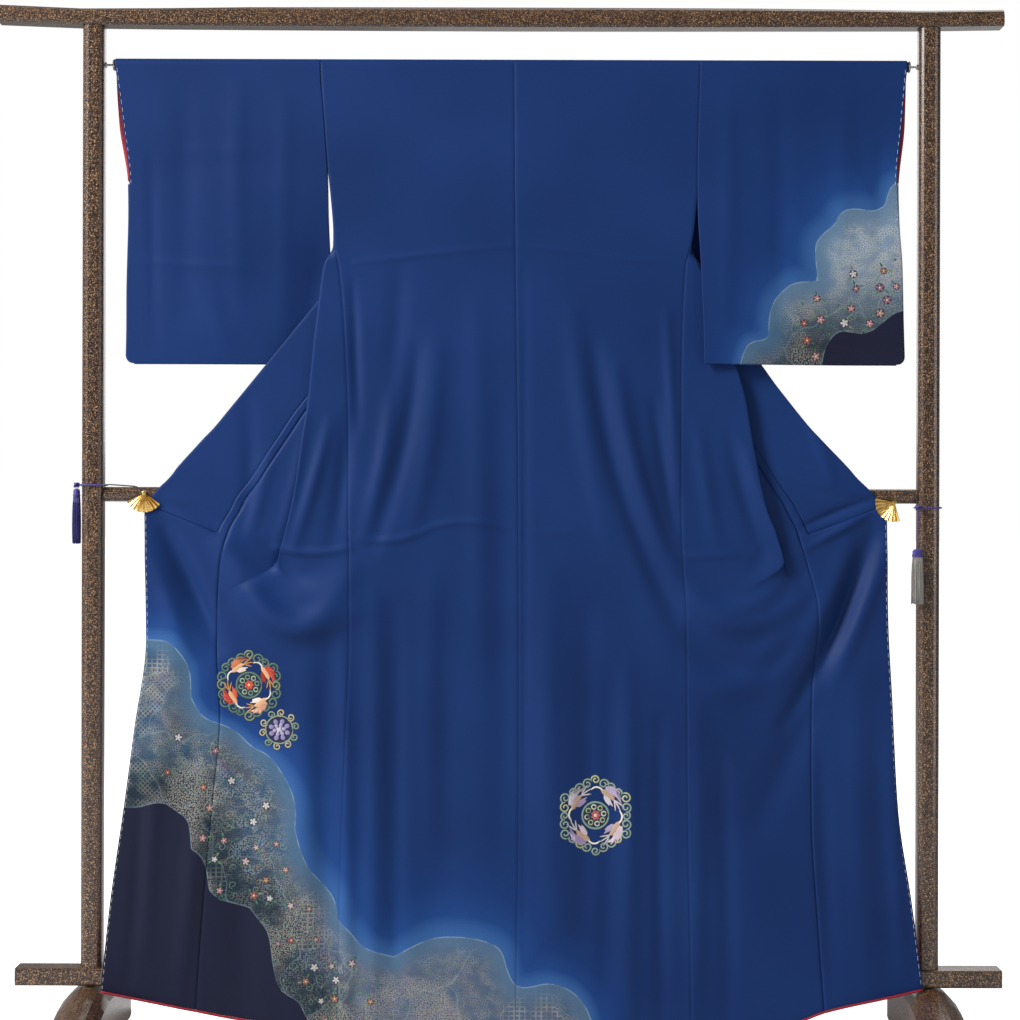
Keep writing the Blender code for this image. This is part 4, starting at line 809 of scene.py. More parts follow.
def urushi_lacquer():
    """Speckled urushi lacquer: gold and brown flecks under a clear, softly polished coat.

    Flecks of about 1 mm are drawn at 1.3 to 1.9 mm, so that they show.
    """
    finish, tree, shader = new_finish(
        "urushi_lacquer_speckled",
        {"Roughness": 0.32, "IOR": 1.5, "Coat Weight": 0.8, "Coat Roughness": 0.24,
         "Coat IOR": 1.5},
    )
    place = put(tree, "TexCoord").outputs["Object"]
    flecks = put(tree, "TexNoise", {"Vector": place, "Scale": every(1.852), "Detail": 3.0})
    fine = put(tree, "TexNoise", {"Vector": place, "Scale": every(1.316)})
    ground = put(tree, "ValToRGB", (flecks,), (
        (0.36, "#120a08"), (0.44, "#341f15"), (0.51, "#513525"), (0.57, "#7c5a40"),
        (0.65, "#bc986e"),
    ))
    dark = put(tree, "MapRange", (fine, 0.5, 0.58), **SMOOTH)
    speckled = put(tree, "MixRGB", (dark, ground, linear("#160e0a")))
    bump = put(tree, "Bump", {"Strength": 0.08, "Distance": 0.4 * MM, "Height": flecks})
    feed(shader, {"Base Color": speckled, "Normal": bump})
    return finish


def metal(name, code, darker, roughness):
    """A metal with the faint streaks that polishing leaves, about 11 mm long."""
    finish, tree, shader = new_finish(name, {"Metallic": 1.0, "Roughness": roughness})
    place = put(tree, "TexCoord").outputs["Object"]
    streaks = put(tree, "TexNoise", {"Vector": place, "Scale": every(11.1), "Detail": 4.0})
    tone = put(tree, "ValToRGB", (streaks,), ((0.35, darker), (0.65, code)))
    rough = put(
        tree, "MapRange", (streaks, 0.3, 0.7, roughness * 0.8, roughness * 1.3), **SMOOTH
    )
    feed(shader, {"Base Color": tone, "Roughness": rough})
    return finish


def braid(name, code, darker):
    """Braided silk cord: slanted ridges 2.4 mm apart."""
    finish, tree, shader = new_finish(
        name, {"Roughness": 0.5, "IOR": 1.5, "Sheen Weight": 0.3},
    )
    place = put(tree, "TexCoord").outputs["Object"]
    ridges = put(
        tree, "TexWave", {"Vector": place, "Scale": RIDGE * every(2.42), "Distortion": 1.0},
        bands_direction="DIAGONAL",
    ).outputs["Fac"]
    # Painted shade: the cord's colour is darker between its ridges and paler on them.
    tone = put(tree, "ValToRGB", (ridges,), ((0.1, darker), (0.8, code)))
    bump = put(tree, "Bump", {"Strength": 0.6, "Distance": 0.6 * MM, "Height": ridges})
    feed(shader, {"Base Color": tone, "Normal": bump})
    return finish


CREPE = silk_crepe()
WHITE_LINING = silk_lining("habutae_lining_white")
RED_HEM_LINING = silk_lining("habutae_lining_red_hem", 831.0)
RED_SILK = plain_silk("habutae_silk_red", "#a91228", "#7c0a1e")
BASTING = plain_silk("basting_thread_white", "#f2f1ec", "#cfccc4", 0.6, 1.11)
THREAD = embroidery_thread()
LACQUER = urushi_lacquer()
GOLD = metal("gold_plated_brass", "#f4d48a", "#d3a04a", 0.28)
BLACK_STEEL = metal("black_nickelled_steel", "#3a3a3d", "#1c1c1f", 0.32)
PIN_STEEL = metal("polished_steel", "#c9cacc", "#9c9da0", 0.22)
BLACK_CORD = braid("braided_silk_black", "#26252a", "#0c0b0e")
PURPLE_CORD = braid("braided_silk_purple", "#4a3a9c", "#241a5c")
PURPLE_TASSEL = plain_silk("twisted_silk_purple", "#43368f", "#1f184d", 0.45, 1.43)
GREY_TASSEL = plain_silk("twisted_silk_grey", "#c4bfba", "#858079", 0.45, 1.43)


# Pieces

def piece(mesh, finishes, nodes=()):
    """Puts a mesh in the scene, riding on the one body, in place of the named solids."""
    obj = bpy.data.objects.new(mesh.name, mesh)
    for finish in finishes:
        mesh.materials.append(finish)
    bpy.context.scene.collection.objects.link(obj)
    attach(obj, "root")
    if nodes:
        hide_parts(*nodes)
    return obj


def mesh_of(name, points, faces):
    """A smooth mesh from points in garment millimetres."""
    world = (np.asarray(points, float) + (MIDDLE_X, 0, 0)) * MM
    mesh = bpy.data.meshes.new(name)
    mesh.from_pydata(world.tolist(), [], [list(map(int, face)) for face in faces])
    mesh.shade_smooth()
    return mesh


def thicken(obj, thickness, lining=0):
    """Gives a cloth its thickness, half to each side. lining is its inner side's finish."""
    silk = obj.modifiers.new("silk_thickness", "SOLIDIFY")
    silk.thickness = thickness * MM
    silk.offset = 0
    silk.material_offset = lining
    return obj


def smooth_line(points, count):
    """A rounded line through given points: one quadratic curve a corner."""
    points = np.asarray(points, float)
    middles = (points[:-1] + points[1:]) / 2
    line = [points[0]]
    for start, corner, end in zip(middles[:-1], points[1:-1], middles[1:]):
        for t in np.linspace(0, 1, count, endpoint=False):
            line.append((1 - t) ** 2 * start + 2 * t * (1 - t) * corner + t * t * end)
    return np.array(line + [points[-1]])


def inside(x, drop, outline):
    """Which points lie inside a closed outline."""
    hits = np.zeros(x.shape, bool)
    for (ax, ad), (bx, bd) in zip(outline, np.roll(outline, -1, axis=0)):
        if ad == bd:
            continue
        crosses = (ad > drop) != (bd > drop)
        hits ^= crosses & (x < ax + (drop - ad) * (bx - ax) / (bd - ad))
    return hits


def band_distances(x, drop, cloud, night, corner):
    """Millimetres inside the band's upper edge and its lower edge, and the glow beyond it.

    corner is a far point on the night field's side, which closes both outlines.
    """
    found = []
    for edge in (cloud, night):
        line = smooth_line([row[:2] for row in edge], 5)
        distance, along = to_line(x, drop, line)
        closed = np.vstack([line, [(line[-1][0], corner[1]), corner, (corner[0], line[0][1])]])
        found.append(np.where(inside(x, drop, closed), distance, -distance))
        if edge is cloud:
            widths = np.array([row[2] for row in edge], float)
            width = np.interp(along, np.linspace(0, 1, len(widths)), widths)
            glow = np.exp(-(distance / width) ** 1.5)
    return found[0], found[1], np.where(found[0] > 0, 1.0, glow)


def dye(mesh, points, band):
    """Gives the cloth's points the places of the dyed band, if they have one."""
    values = [np.full(len(points), value) for value in NO_BAND]
    if band:
        values = band_distances(points[:, 0], SHOULDER - points[:, 2], *BANDS[band])
    for name, value in zip(BAND_PLACES, values):
        layer = mesh.attributes.new(name, "FLOAT", "POINT")
        layer.data.foreach_set("value", np.asarray(value, np.float32))


SURFACES = []


def lined_silk(mesh, points, faces, lining, nodes, band):
    """A cloth of dyed crepe outside and lining inside, round a middle surface."""
    dye(mesh, points, band)
    SURFACES.append((points, faces))
    return thicken(piece(mesh, (CREPE, lining), nodes), CLOTH, 1)


def cloth(name, points, faces, probe, lining, nodes, band=None):
    """A lined cloth. probe is the number of a face whose outside is turned to the viewer."""
    corners = points[faces[probe]]
    if np.cross(corners[1] - corners[0], corners[2] - corners[1])[1] > 0:
        faces = faces[:, ::-1]
    return lined_silk(mesh_of(name, points, faces), points, faces, lining, nodes, band)


@cache
def level_at(side, drop):
    """A front's level, worked out once for each drop."""
    return Level(side, drop)


def body_cloth(side):
    """One length from the back hem up, over the rod and down to the front hem."""
    marks = np.array([level_at(side, drop).front() for drop in LEVELS])
    mark_curves = [through(LEVELS, marks[:, k]) for k in range(FRONT_COLUMNS + 1)]
    top_outs = level_at(side, LEVELS[0]).at(marks[0])[:, 0]
    neck_outs = np.linspace(top_outs[-1], SEAM_OFFSET, NECK_COLUMNS + 1)[1:]
    top = np.concatenate([top_outs, neck_outs])
    share = (top[0] - top) / (top[0] - top[-1])
    widths = np.maximum(np.diff(marks, axis=1).max(axis=0), 1)
    widths = np.concatenate([widths, np.abs(np.diff(neck_outs, prepend=top_outs[-1]))])
    columns = fine_columns(widths)
    coarse = np.arange(len(top))
    shares = np.interp(columns, coarse, share)
    far_outs = np.interp(columns, coarse, top)
    drops = dense_drops(LEVELS[0], LENGTH)

    def back_row(drop):
        """The back's row at a drop, from the side seam to the centre seam."""
        side_out = float(SIDE_CURVES[side]["side"](drop)) - SEAM_OFFSET
        centre_out = SIGN[side] * float(centre_x(drop)) + SEAM_OFFSET
        out = side_out + (centre_out - side_out) * shares
        from_edge = np.minimum(np.abs(out - side_out), np.abs(out - centre_out))
        depth = float(DEPTH["near"](drop)) + edge_roll(from_edge) + edge_roll(LENGTH - drop)
        return placed(side, out, depth, drop)

    rows = [back_row(drop) for drop in drops[::-1]]
    far_top = np.stack([SIGN[side] * far_outs, 0 * far_outs, 0 * far_outs], 1)
    rows += over_rod(rows[-1], far_top)
    back_points = np.concatenate(rows)
    back_number = grid(len(rows), len(columns))
    front_columns = columns[columns <= FRONT_COLUMNS]
    front_rows = []
    for drop in drops[1:]:
        level = level_at(side, drop)
        at_marks = np.array([float(curve(drop)) for curve in mark_curves])
        at_marks[-1] = level.seam - SEAM_OFFSET
        out, depth = panel_row(level, front_columns, at_marks, LENGTH)
        front_rows.append(placed(side, out, depth, drop))
    front_number = np.vstack([
        back_number[-1, :len(front_columns)],
        grid(len(front_rows), len(front_columns), len(back_points)),
    ])
    points = np.vstack([back_points] + front_rows)
    faces = np.vstack([quads(back_number), quads(front_number)])
    probe = len(columns) * 20 + 10
    obj = cloth(
        f"body_cloth_{side}", points, faces, probe, RED_HEM_LINING,
        (f"back_{side}", f"front_{side}"), "skirt",
    )
    return obj, rows[0][::-1], front_rows[-1]


def collar_end_shift(drop, share):
    """How far a level is raised to follow the collar's slanted lower end."""
    near_end = 1 - abs(drop - COLLAR_END) / COLLAR_END_REACH
    return COLLAR_END_RISE * share * float(smoothstep(near_end, 0, 1))


def drawn_in(side, drop, outs, share):
    """A level's places across, with its free edge drawn in to the slant above the clip."""
    raised = drop - collar_end_shift(drop, 1)
    slant = np.interp(raised, *zip(*SLANTS[side]), left=math.inf, right=math.inf)
    trim = max(float(SIDE_CURVES[side]["edge"](drop)) - slant, 0)
    return outs - trim * share ** 2


def collar_cloth(side):
    """The collar's half, from the centre back down to the fan clip."""
    coarse_drops = [drop for drop in LEVELS if drop <= COLLAR_END]
    coarse_drops[0] += GAP
    marks = []
    for drop in coarse_drops:
        level = level_at(side, drop)
        start = level.seam + float(okumi_sliver(drop)) + SEAM_OFFSET
        inset = SEAM_OFFSET if float(SIDE_CURVES[side]["edge"](drop)) < 1 else 0
        marks.append(level.collar(start, level.arc[-1] - inset))
    marks = np.array(marks)
    mark_curves = [through(coarse_drops, marks[:, k]) for k in range(COLLAR_COLUMNS + 1)]
    columns = fine_columns(np.maximum(np.diff(marks, axis=1).max(axis=0), 1))
    drops = dense_drops(coarse_drops[0], COLLAR_END)
    rows = []
    for drop in drops:
        level = level_at(side, drop)
        at_marks = np.array([float(curve(drop)) for curve in mark_curves])
        at_marks[0] = level.seam + float(okumi_sliver(drop)) + SEAM_OFFSET
        out, depth = panel_row(level, columns, at_marks, COLLAR_END)
        share = columns / COLLAR_COLUMNS
        raised = drop - collar_end_shift(drop, share)
        if drop == drops[-1]:
            raised = raised - SEAM_OFFSET
        rows.append(placed(side, drawn_in(side, drop, out, share), depth, raised))
    probe = (len(rows) - 10) * (len(columns) - 1) + 5
    return cloth(
        f"collar_cloth_{side}", np.concatenate(rows), quads(grid(len(rows), len(columns))),
        probe, WHITE_LINING, (f"collar_{side}",),
    )


def okumi_cloth(side):
    """The front edge panel: full width below the collar's end, a sliver above it."""
    last = OKUMI_COLUMNS + 1
    sliver_end = 4
    columns = np.sort(np.concatenate([
        np.linspace(0, 1, sliver_end + 1), 1 + np.linspace(0, OKUMI_COLUMNS, 28)[1:],
        np.subtract(last, OKUMI_EDGE_COLUMNS),
    ]))
    first_drop = min(drop for drop in LEVELS if drop > OKUMI_POINT)
    drops = np.sort(np.concatenate([
        dense_drops(first_drop, COLLAR_END), dense_drops(COLLAR_END, LENGTH)[1:],
    ]))
    rows = []
    for drop in drops:
        level = level_at(side, drop)
        seam = level.seam + SEAM_OFFSET
        start = seam + float(okumi_sliver(drop)) - SEAM_OFFSET
        at_marks = np.concatenate([[seam], np.linspace(start, level.arc[-1], last)])
        out, depth = panel_row(level, columns, at_marks, LENGTH)
        share = np.maximum(columns - 1, 0) / OKUMI_COLUMNS
        lowered = drop - collar_end_shift(drop, share)
        if drop == COLLAR_END:
            lowered = lowered + SEAM_OFFSET
        rows.append(placed(side, drawn_in(side, drop, out, share), depth, lowered))

    # Above the collar's end only the sliver beside the seam is left
    number = grid(len(rows), len(columns))
    end_row = int(np.searchsorted(drops, COLLAR_END))
    sliver = quads(number[:end_row + 1, :sliver_end + 1])
    faces = np.vstack([sliver, quads(number[end_row:])])
    points = np.concatenate(rows)
    used = np.unique(faces)
    renumber = np.zeros(len(points), int)
    renumber[used] = np.arange(len(used))
    obj = cloth(
        f"okumi_cloth_{side}", points[used], renumber[faces], len(faces) - 40,
        RED_HEM_LINING, (f"okumi_{side}",), "skirt",
    )
    free_edge = [row[-1] for drop, row in zip(drops, rows) if drop >= COLLAR_END]
    return obj, rows[-1], free_edge


def sleeve_edge(side, layer, drop):
    """How far out a sleeve wall reaches, with the rounded lower corner."""
    reach = float(SLEEVE_CURVES[side][f"{layer}_outer"](drop))
    above = SLEEVE_BOTTOM - drop
    if above < SLEEVE_CORNER:
        reach -= SLEEVE_CORNER - math.sqrt(SLEEVE_CORNER ** 2 - (SLEEVE_CORNER - above) ** 2)
    return reach


def sleeve_row(side, shares, drop, layer):
    """Points of a sleeve's near or far wall, from its inner to its outer edge."""
    at = {name: float(curve(drop)) for name, curve in SLEEVE_CURVES[side].items()}
    inner = at["inner"] + SEAM_OFFSET
    if layer == "near" and side == "right":
        inner -= NEAR_WALL_LAPS * float(smoothstep(drop, *NEAR_WALL_LAP_DROPS))
    out = inner + (sleeve_edge(side, layer, drop) - inner) * shares
    middle = at["mid_in"] + (at["mid_out"] - at["mid_in"]) * smoothstep(shares, 0, 0.8)
    belly = float(smoothstep(drop, *BELLY_FROM)) * (1 - float(smoothstep(drop, *BELLY_TO)))
    half = at["half_in"] + (at["half_out"] - at["half_in"]) * shares
    half = half + SLEEVE_BELLY * 4 * shares * (1 - shares) * belly
    half = half - (half - 2.0) * float(smoothstep(drop, *SLEEVE_CLOSES))
    x = SIGN[side] * out
    depth = middle - half if layer == "near" else middle + half
    creased = float(smoothstep(drop, *SLEEVE_CREASES_FROM))
    depth = depth + fold_depth(x, 0 * x + drop, SLEEVE_CREASES) * creased
    return np.stack([x, depth, 0 * x + SHOULDER - drop], 1)


def sleeve_cloth(side):
    """One folded cloth over the rod, closed at its bottom and, below the cuff, outside."""
    shares = np.sort(np.concatenate([np.linspace(0, 1, 54), SLEEVE_EDGE_SHARES]))
    drops = np.sort(np.concatenate([
        dense_drops(LEVELS[0], SLEEVE_BOTTOM - 14),
        np.subtract(SLEEVE_BOTTOM, SLEEVE_CORNER_ROWS), [CUFF_BOTTOM],
    ]))
    near = [sleeve_row(side, shares, drop, "near") for drop in drops[::-1]]
    far = [sleeve_row(side, shares, drop, "far") for drop in drops]
    over = over_rod(near[-1], far[0])[:-1]
    under = (near[0] + far[-1]) / 2
    under[:, 2] -= SLEEVE_EDGE
    rows = near + over + far + [under]
    points = np.concatenate(rows)
    number = grid(len(rows), len(shares))
    faces = quads(np.vstack([number, number[:1]])).tolist()

    # Below the cuff, faces through a middle line join the two walls' outer edges
    outer = number[:, -1].tolist()
    closed = [k for k, drop in enumerate(drops[::-1]) if drop >= CUFF_BOTTOM]
    pairs = [(outer[k], outer[-2 - k]) for k in closed]
    middles = []
    for k, (a, b) in enumerate(pairs):
        middles.append((points[a] + points[b]) / 2)
        if k:
            middles[-1][0] += SIGN[side] * SLEEVE_EDGE
    base = len(points)
    points = np.vstack([points, middles])
    for k, ((a, b), (c, d)) in enumerate(zip(pairs[:-1], pairs[1:])):
        faces.append([a, base + k, base + k + 1, c])
        faces.append([base + k, b, d, base + k + 1])
    corner = [pairs[0][0], outer[-1], base]

    mesh = mesh_of(f"sleeve_cloth_{side}", points, faces + [corner])
    bm = bmesh.new()
    bm.from_mesh(mesh)
    bmesh.ops.recalc_face_normals(bm, faces=bm.faces)
    bm.faces.ensure_lookup_table()
    near_face = bm.faces[20 * len(shares)]
    if near_face.normal.y > 0:
        bmesh.ops.reverse_faces(bm, faces=bm.faces)
    bm.to_mesh(mesh)
    bm.free()
    mesh.shade_smooth()
    band = "sleeve" if side == "right" else None
    obj = lined_silk(mesh, points, faces, WHITE_LINING, (f"sleeve_{side}",), band)
    cuff = [sleeve_row(side, np.array([1.0]), drop, "near")[0] for drop in drops]
    return obj, cuff


def cuff_strip(side):
    """The red lining's strip inside the cuff, on the far wall."""
    drops = np.linspace(LEVELS[0], CUFF_BOTTOM - 6, 28)
    rows = []
    for drop in drops:
        reach = sleeve_edge(side, "far", drop)
        inner = float(SLEEVE_CURVES[side]["inner"](drop))
        ends = [(reach - width - inner) / (reach - inner) for width in (0, CUFF_LINING_WIDTH)]
        row = sleeve_row(side, np.linspace(*ends, 6), drop, "far")
        row[:, 1] -= 1.5
        rows.append(row)
    mesh = mesh_of(f"cuff_strip_{side}", np.concatenate(rows), quads(grid(len(rows), 6)))
    strip = piece(mesh, (RED_SILK,), (f"cuff_lining_{side}",))
    return thicken(strip, FOLDED_SILK)


def side_facing():
    """The front's seam edge, which shows dark in the right side opening."""
    rows = []
    for drop in np.linspace(*FACING_DROPS, 26):
        along = (drop - FACING_DROPS[0]) / (FACING_DROPS[1] - FACING_DROPS[0])
        half = 10 * math.sin(math.pi * along) ** 0.35 + 0.5
        middle = float(SLEEVE_CURVES["right"]["inner"](drop)) - 5
        out = middle + np.linspace(-half, half, 7)
        depth = float(DEPTH["far"](drop)) + 3.5 + 1.5 * np.linspace(0, 1, 7)
        rows.append(np.stack([out, depth, 0 * out + SHOULDER - drop], 1))
    points = np.concatenate(rows)
    mesh = mesh_of("side_facing_right", points, quads(grid(len(rows), 7)))
    dye(mesh, points, None)
    return thicken(piece(mesh, (CREPE,)), CLOTH)


def resampled(points, step):
    """Points of a line at even steps along it, and the line's length."""
    points = np.asarray(points, float)
    marks = np.concatenate([[0], np.cumsum(np.linalg.norm(np.diff(points, axis=0), axis=1))])
    count = max(int(round(marks[-1] / step)), 2)
    even = np.linspace(0, marks[-1], count + 1)
    return np.stack([np.interp(even, marks, points[:, k]) for k in range(3)], 1), marks[-1]


def swept(points, wide, tall, sides):
    """Points and faces of a closed roll with an oval section, wide across and tall upright."""
    points = np.asarray(points, float)
    tangent = np.gradient(points, axis=0)
    tangent /= np.linalg.norm(tangent, axis=1)[:, None]
    up = np.array([0, 0, 1.0])
    across = np.cross(tangent, up)
    across /= np.maximum(np.linalg.norm(across, axis=1), 1e-6)[:, None]
    upright = np.cross(across, tangent)
    rings = [
        points + across * wide / 2 * math.cos(angle) + upright * tall / 2 * math.sin(angle)
        for angle in np.linspace(0, 2 * math.pi, sides, endpoint=False)
    ]
    return np.stack(rings, 1).reshape(-1, 3), roll_faces(grid(len(points), sides))


def hem_roll(side, back_row, front_row, okumi_row):
    """The red lining rolled under the hem, from the centre seam out to the free edge."""
    route = np.vstack([back_row, front_row, okumi_row])
    line, _ = resampled(route, 4.0)
    line[:, 2] -= GAP + HEM_ROLL[1] / 2
    verts, faces = swept(line, *HEM_ROLL, 10)
    mesh = mesh_of(f"red_hem_roll_{side}", verts, faces)
    return piece(mesh, (RED_SILK,), (f"hem_roll_{side}",))


def stitches(name, line, inset):
    """Running stitches of white basting thread along a line on the cloth's face."""
    verts = []
    faces = []
    points, total = resampled(line, 1.5)
    points = points + np.asarray(inset, float)
    marks = np.linspace(0, total, len(points))
    start = STITCH_PITCH / 2
    while start + STITCH_LENGTH < total:
        along = np.linspace(start, start + STITCH_LENGTH, 5)
        stitch = np.stack([np.interp(along, marks, points[:, k]) for k in range(3)], 1)
        stitch[[0, -1], 1] += STITCH_DIVES
        ring, sides = swept(stitch, THREAD_WIDTH, THREAD_WIDTH, 6)
        faces += [[number + len(verts) for number in face] for face in sides]
        verts += ring.tolist()
        start += STITCH_PITCH
    return piece(mesh_of(name, verts, faces), (BASTING,))


# Embroidery and drawn motifs, laid on the cloth where a straight look from the front meets it

class Face:
    """The face of the cloth as seen from the front."""

    def __init__(self):
        verts = []
        faces = []
        for points, quad_list in SURFACES:
            base = len(verts)
            verts += points.tolist()
            faces += [[int(number) + base for number in face] for face in quad_list]
        self.tree = BVHTree.FromPolygons(verts, faces)

    def at(self, x, drop, lift):
        """The place on the cloth's face at x and drop, lifted off it by so much, or None."""
        start = Vector((x, -200.0, SHOULDER - drop))
        hit, normal, _, _ = self.tree.ray_cast(start, Vector((0, 1, 0)))
        if hit is None or hit.y > 40:
            return None
        if normal.y > 0:
            normal = -normal
        return hit + normal * (CLOTH / 2 + lift)


class Motifs:
    """Collects small raised shapes, each with its thread's colour, into one piece."""

    def __init__(self, face):
        self.face = face
        self.verts = []
        self.faces = []
        self.colours = []

    def add(self, places, faces, code):
        """places are (x, drop, lift); nothing is added if one misses the cloth."""
        found = [self.face.at(*place) for place in places]
        if any(point is None for point in found):
            return
        depths = [point.y for point in found]
        if max(depths) - min(depths) > 12:
            return
        base = len(self.verts)
        self.verts += [tuple(point) for point in found]
        self.faces += [[number + base for number in face] for face in faces]
        self.colours += [linear(code)] * len(found)

    def patch(self, outline, code, rise, rim=-0.25):
        """A filled shape, raised in its middle, its rim sunk into the cloth."""
        outline = [tuple(point) for point in outline]
        count = len(outline)
        cx = sum(point[0] for point in outline) / count
        cd = sum(point[1] for point in outline) / count
        inner = [(cx + (x - cx) * 0.72, cd + (d - cd) * 0.72) for x, d in outline]
        places = [(x, d, rim) for x, d in outline] + [(x, d, rise * 0.75) for x, d in inner]
        places.append((cx, cd, rise))
        faces = []
        for k in range(count):
            after = (k + 1) % count
            faces.append((k, after, count + after, count + k))
            faces.append((count + k, count + after, 2 * count))
        self.add(places, faces, code)

    def ribbon(self, line, width, code, rise, rim=-0.2):
        """A drawn or couched line of that width, rounded across."""
        line = np.asarray(line, float)
        along = np.gradient(line, axis=0)
        along /= np.maximum(np.linalg.norm(along, axis=1), 1e-6)[:, None]
        across = np.stack([-along[:, 1], along[:, 0]], 1) * width / 2
        ease = np.ones(len(line))
        ease[[0, -1]] = 0.35
        across *= ease[:, None]
        places = []
        for (x, d), (ax, ad) in zip(line, across):
            places += [(x - ax, d - ad, rim), (x, d, rise), (x + ax, d + ad, rim)]
        faces = []
        for k in range(len(line) - 1):
            a = 3 * k
            faces += [(a, a + 1, a + 4, a + 3), (a + 1, a + 2, a + 5, a + 4)]
        self.add(places, faces, code)

    def disc(self, at, radius, corners, code, rise, rim=-0.25, angle=0.0):
        """A round patch."""
        self.patch(laid(circle(radius, corners)[:-1], at, angle), code, rise, rim)

    def cord(self, line, width, code, edge, rise=0.7):
        """A couched cord with its darker outline beneath."""
        self.ribbon(line, width * 2.0, edge, 0.16, 0.02)
        self.ribbon(line, width, code, rise, 0.1)

    def finish(self, name):
        """The collected shapes as one piece, with their threads' colours on the points."""
        mesh = mesh_of(name, self.verts, self.faces)
        layer = mesh.attributes.new("thread", "FLOAT_COLOR", "POINT")
        layer.data.foreach_set("color", np.array(self.colours, np.float32).ravel())
        return piece(mesh, (THREAD,))


def laid(points, at, angle=0.0):
    """A motif's points turned and moved to their place; its y is up and drop runs down."""
    points = np.asarray(points, float)
    c, s = math.cos(angle), math.sin(angle)
    x = points[:, 0] * c - points[:, 1] * s
    y = points[:, 0] * s + points[:, 1] * c
    return np.stack([at[0] + x, at[1] - y], 1)


def around(count, start=0.0):
    """Even turns of a circle, each with its number and its direction."""
    for k in range(count):
        turn = start + 2 * math.pi * k / count
        yield k, turn, np.array([math.cos(turn), math.sin(turn)])


def oval(long, wide, at, angle, count):
    """An oval's points, long along its own angle."""
    turns = np.linspace(0, 2 * math.pi, count, endpoint=False)
    points = np.stack([long / 2 * np.cos(turns), wide / 2 * np.sin(turns)], 1)
    c, s = math.cos(angle), math.sin(angle)
    return points @ np.array([[c, s], [-s, c]]) + at


def curl(radius, turns, start, hand, count):
    """A scroll that winds in from its radius, to one hand (1) or the other (-1)."""
    share = np.linspace(0, 1, count)
    angle = start + hand * 2 * math.pi * turns * share
    r = radius * (1 - 0.78 * share)
    return np.stack([r * np.cos(angle), r * np.sin(angle)], 1)


def circle(radius, count):
    """A closed circle of points, its first point also its last."""
    turns = np.linspace(0, 2 * math.pi, count + 1)
    return np.stack([radius * np.cos(turns), radius * np.sin(turns)], 1)


def blossom(motifs, at, radius, petal, angle):
    """A small flower: five rounded petals round a pale heart, on a dark outline."""
    motifs.disc(at, radius * 1.12, 11, "#4a2c3a", 0.16, 0.02, angle)
    for _, turn, way in around(5, angle):
        shape = oval(radius * 0.84, radius * 0.6, way * radius * 0.58, turn, 7)
        motifs.patch(laid(shape, at), petal, 0.6, 0.1)
    motifs.disc(at, radius * 0.26, 6, "#e6cf9c", 0.8, 0.1)


def leaf(motifs, at, length, angle, code):
    """A pointed leaf."""
    shape = [(0, 0), (0.3, 0.2), (0.65, 0.17), (1, 0), (0.65, -0.17), (0.3, -0.2)]
    motifs.patch(laid(np.array(shape) * length, at, angle), code, 0.3)


# A flying bird, heading along +X, in units that its medallion scales
BIRD_WING = (
    (-3, 2), (-10, 5), (-20, 7), (-13, 9), (-17, 11), (-8, 11.5), (-9, 14), (0, 12.5), (7, 8),
    (6, 2),
)
BIRD_FAR_WING = (
    (-2, -1), (-9, -4), (-19, -5.5), (-12, -8), (-14, -10), (-5, -10.5), (3, -8), (6, -2),
)
BIRD_BODY = ((-14, 0), (-8, 3.2), (-1, 4.6), (7, 3.8), (12, 1.5), (8, -2.8), (0, -4), (-8, -2.6))
BIRD_NECK = ((8, 1), (14, 4.5), (20, 4.5), (25, 1.5))
BIRD_TAIL = (
    ((-11, 0), (-18, 4), (-24, 9)), ((-11, 0), (-20, 1), (-28, 3)),
    ((-11, 0), (-19, -3), (-26, -4)),
)
BIRD_FEATHERS = (
    ((-14, 7), (-7, 5.5), (-1, 3)), ((-11, 10), (-5, 7.5), (1, 4)), ((-4, 12), (0, 8), (3, 4)),
)
BIRD_OUTLINE = "#151d3a"


def bird(motifs, bend, scale, wing, second, body, tail):
    """A flying bird in flat stitches, as any textile motif of this kind is built up.

    bend lays the bird's own drawing round its ring.
    """
    for line in BIRD_TAIL:
        motifs.cord(bend(smooth_line(line, 4)), 1.9 * scale, tail, BIRD_OUTLINE, 0.6)
    for shape in (BIRD_FAR_WING, BIRD_WING, BIRD_BODY):
        middle = np.mean(shape, axis=0)
        grown = middle + (np.array(shape) - middle) * 1.16
        motifs.patch(bend(grown), BIRD_OUTLINE, 0.15, 0.02)
    motifs.patch(bend(BIRD_FAR_WING), second, 0.5, 0.1)
    motifs.patch(bend(BIRD_BODY), body, 0.7, 0.1)
    motifs.patch(bend(BIRD_WING), wing, 0.8, 0.15)
    for line in BIRD_FEATHERS:
        motifs.ribbon(bend(smooth_line(line, 3)), 1.1 * scale, body, 1.0)
    motifs.cord(bend(smooth_line(BIRD_NECK, 4)), 2.3 * scale, "#efe9e2", BIRD_OUTLINE, 0.8)


def six_sided(turn, wide, tall):
    """A point on a six-sided outline that stands on a corner."""
    part = (turn - math.pi / 2) % (math.pi / 3) - math.pi / 6
    radius = 0.85 * math.cos(math.pi / 6) / math.cos(part) + 0.15 * 0.93
    return np.array([math.cos(turn) * wide / 2 * 1.13, math.sin(turn) * tall / 2]) * radius


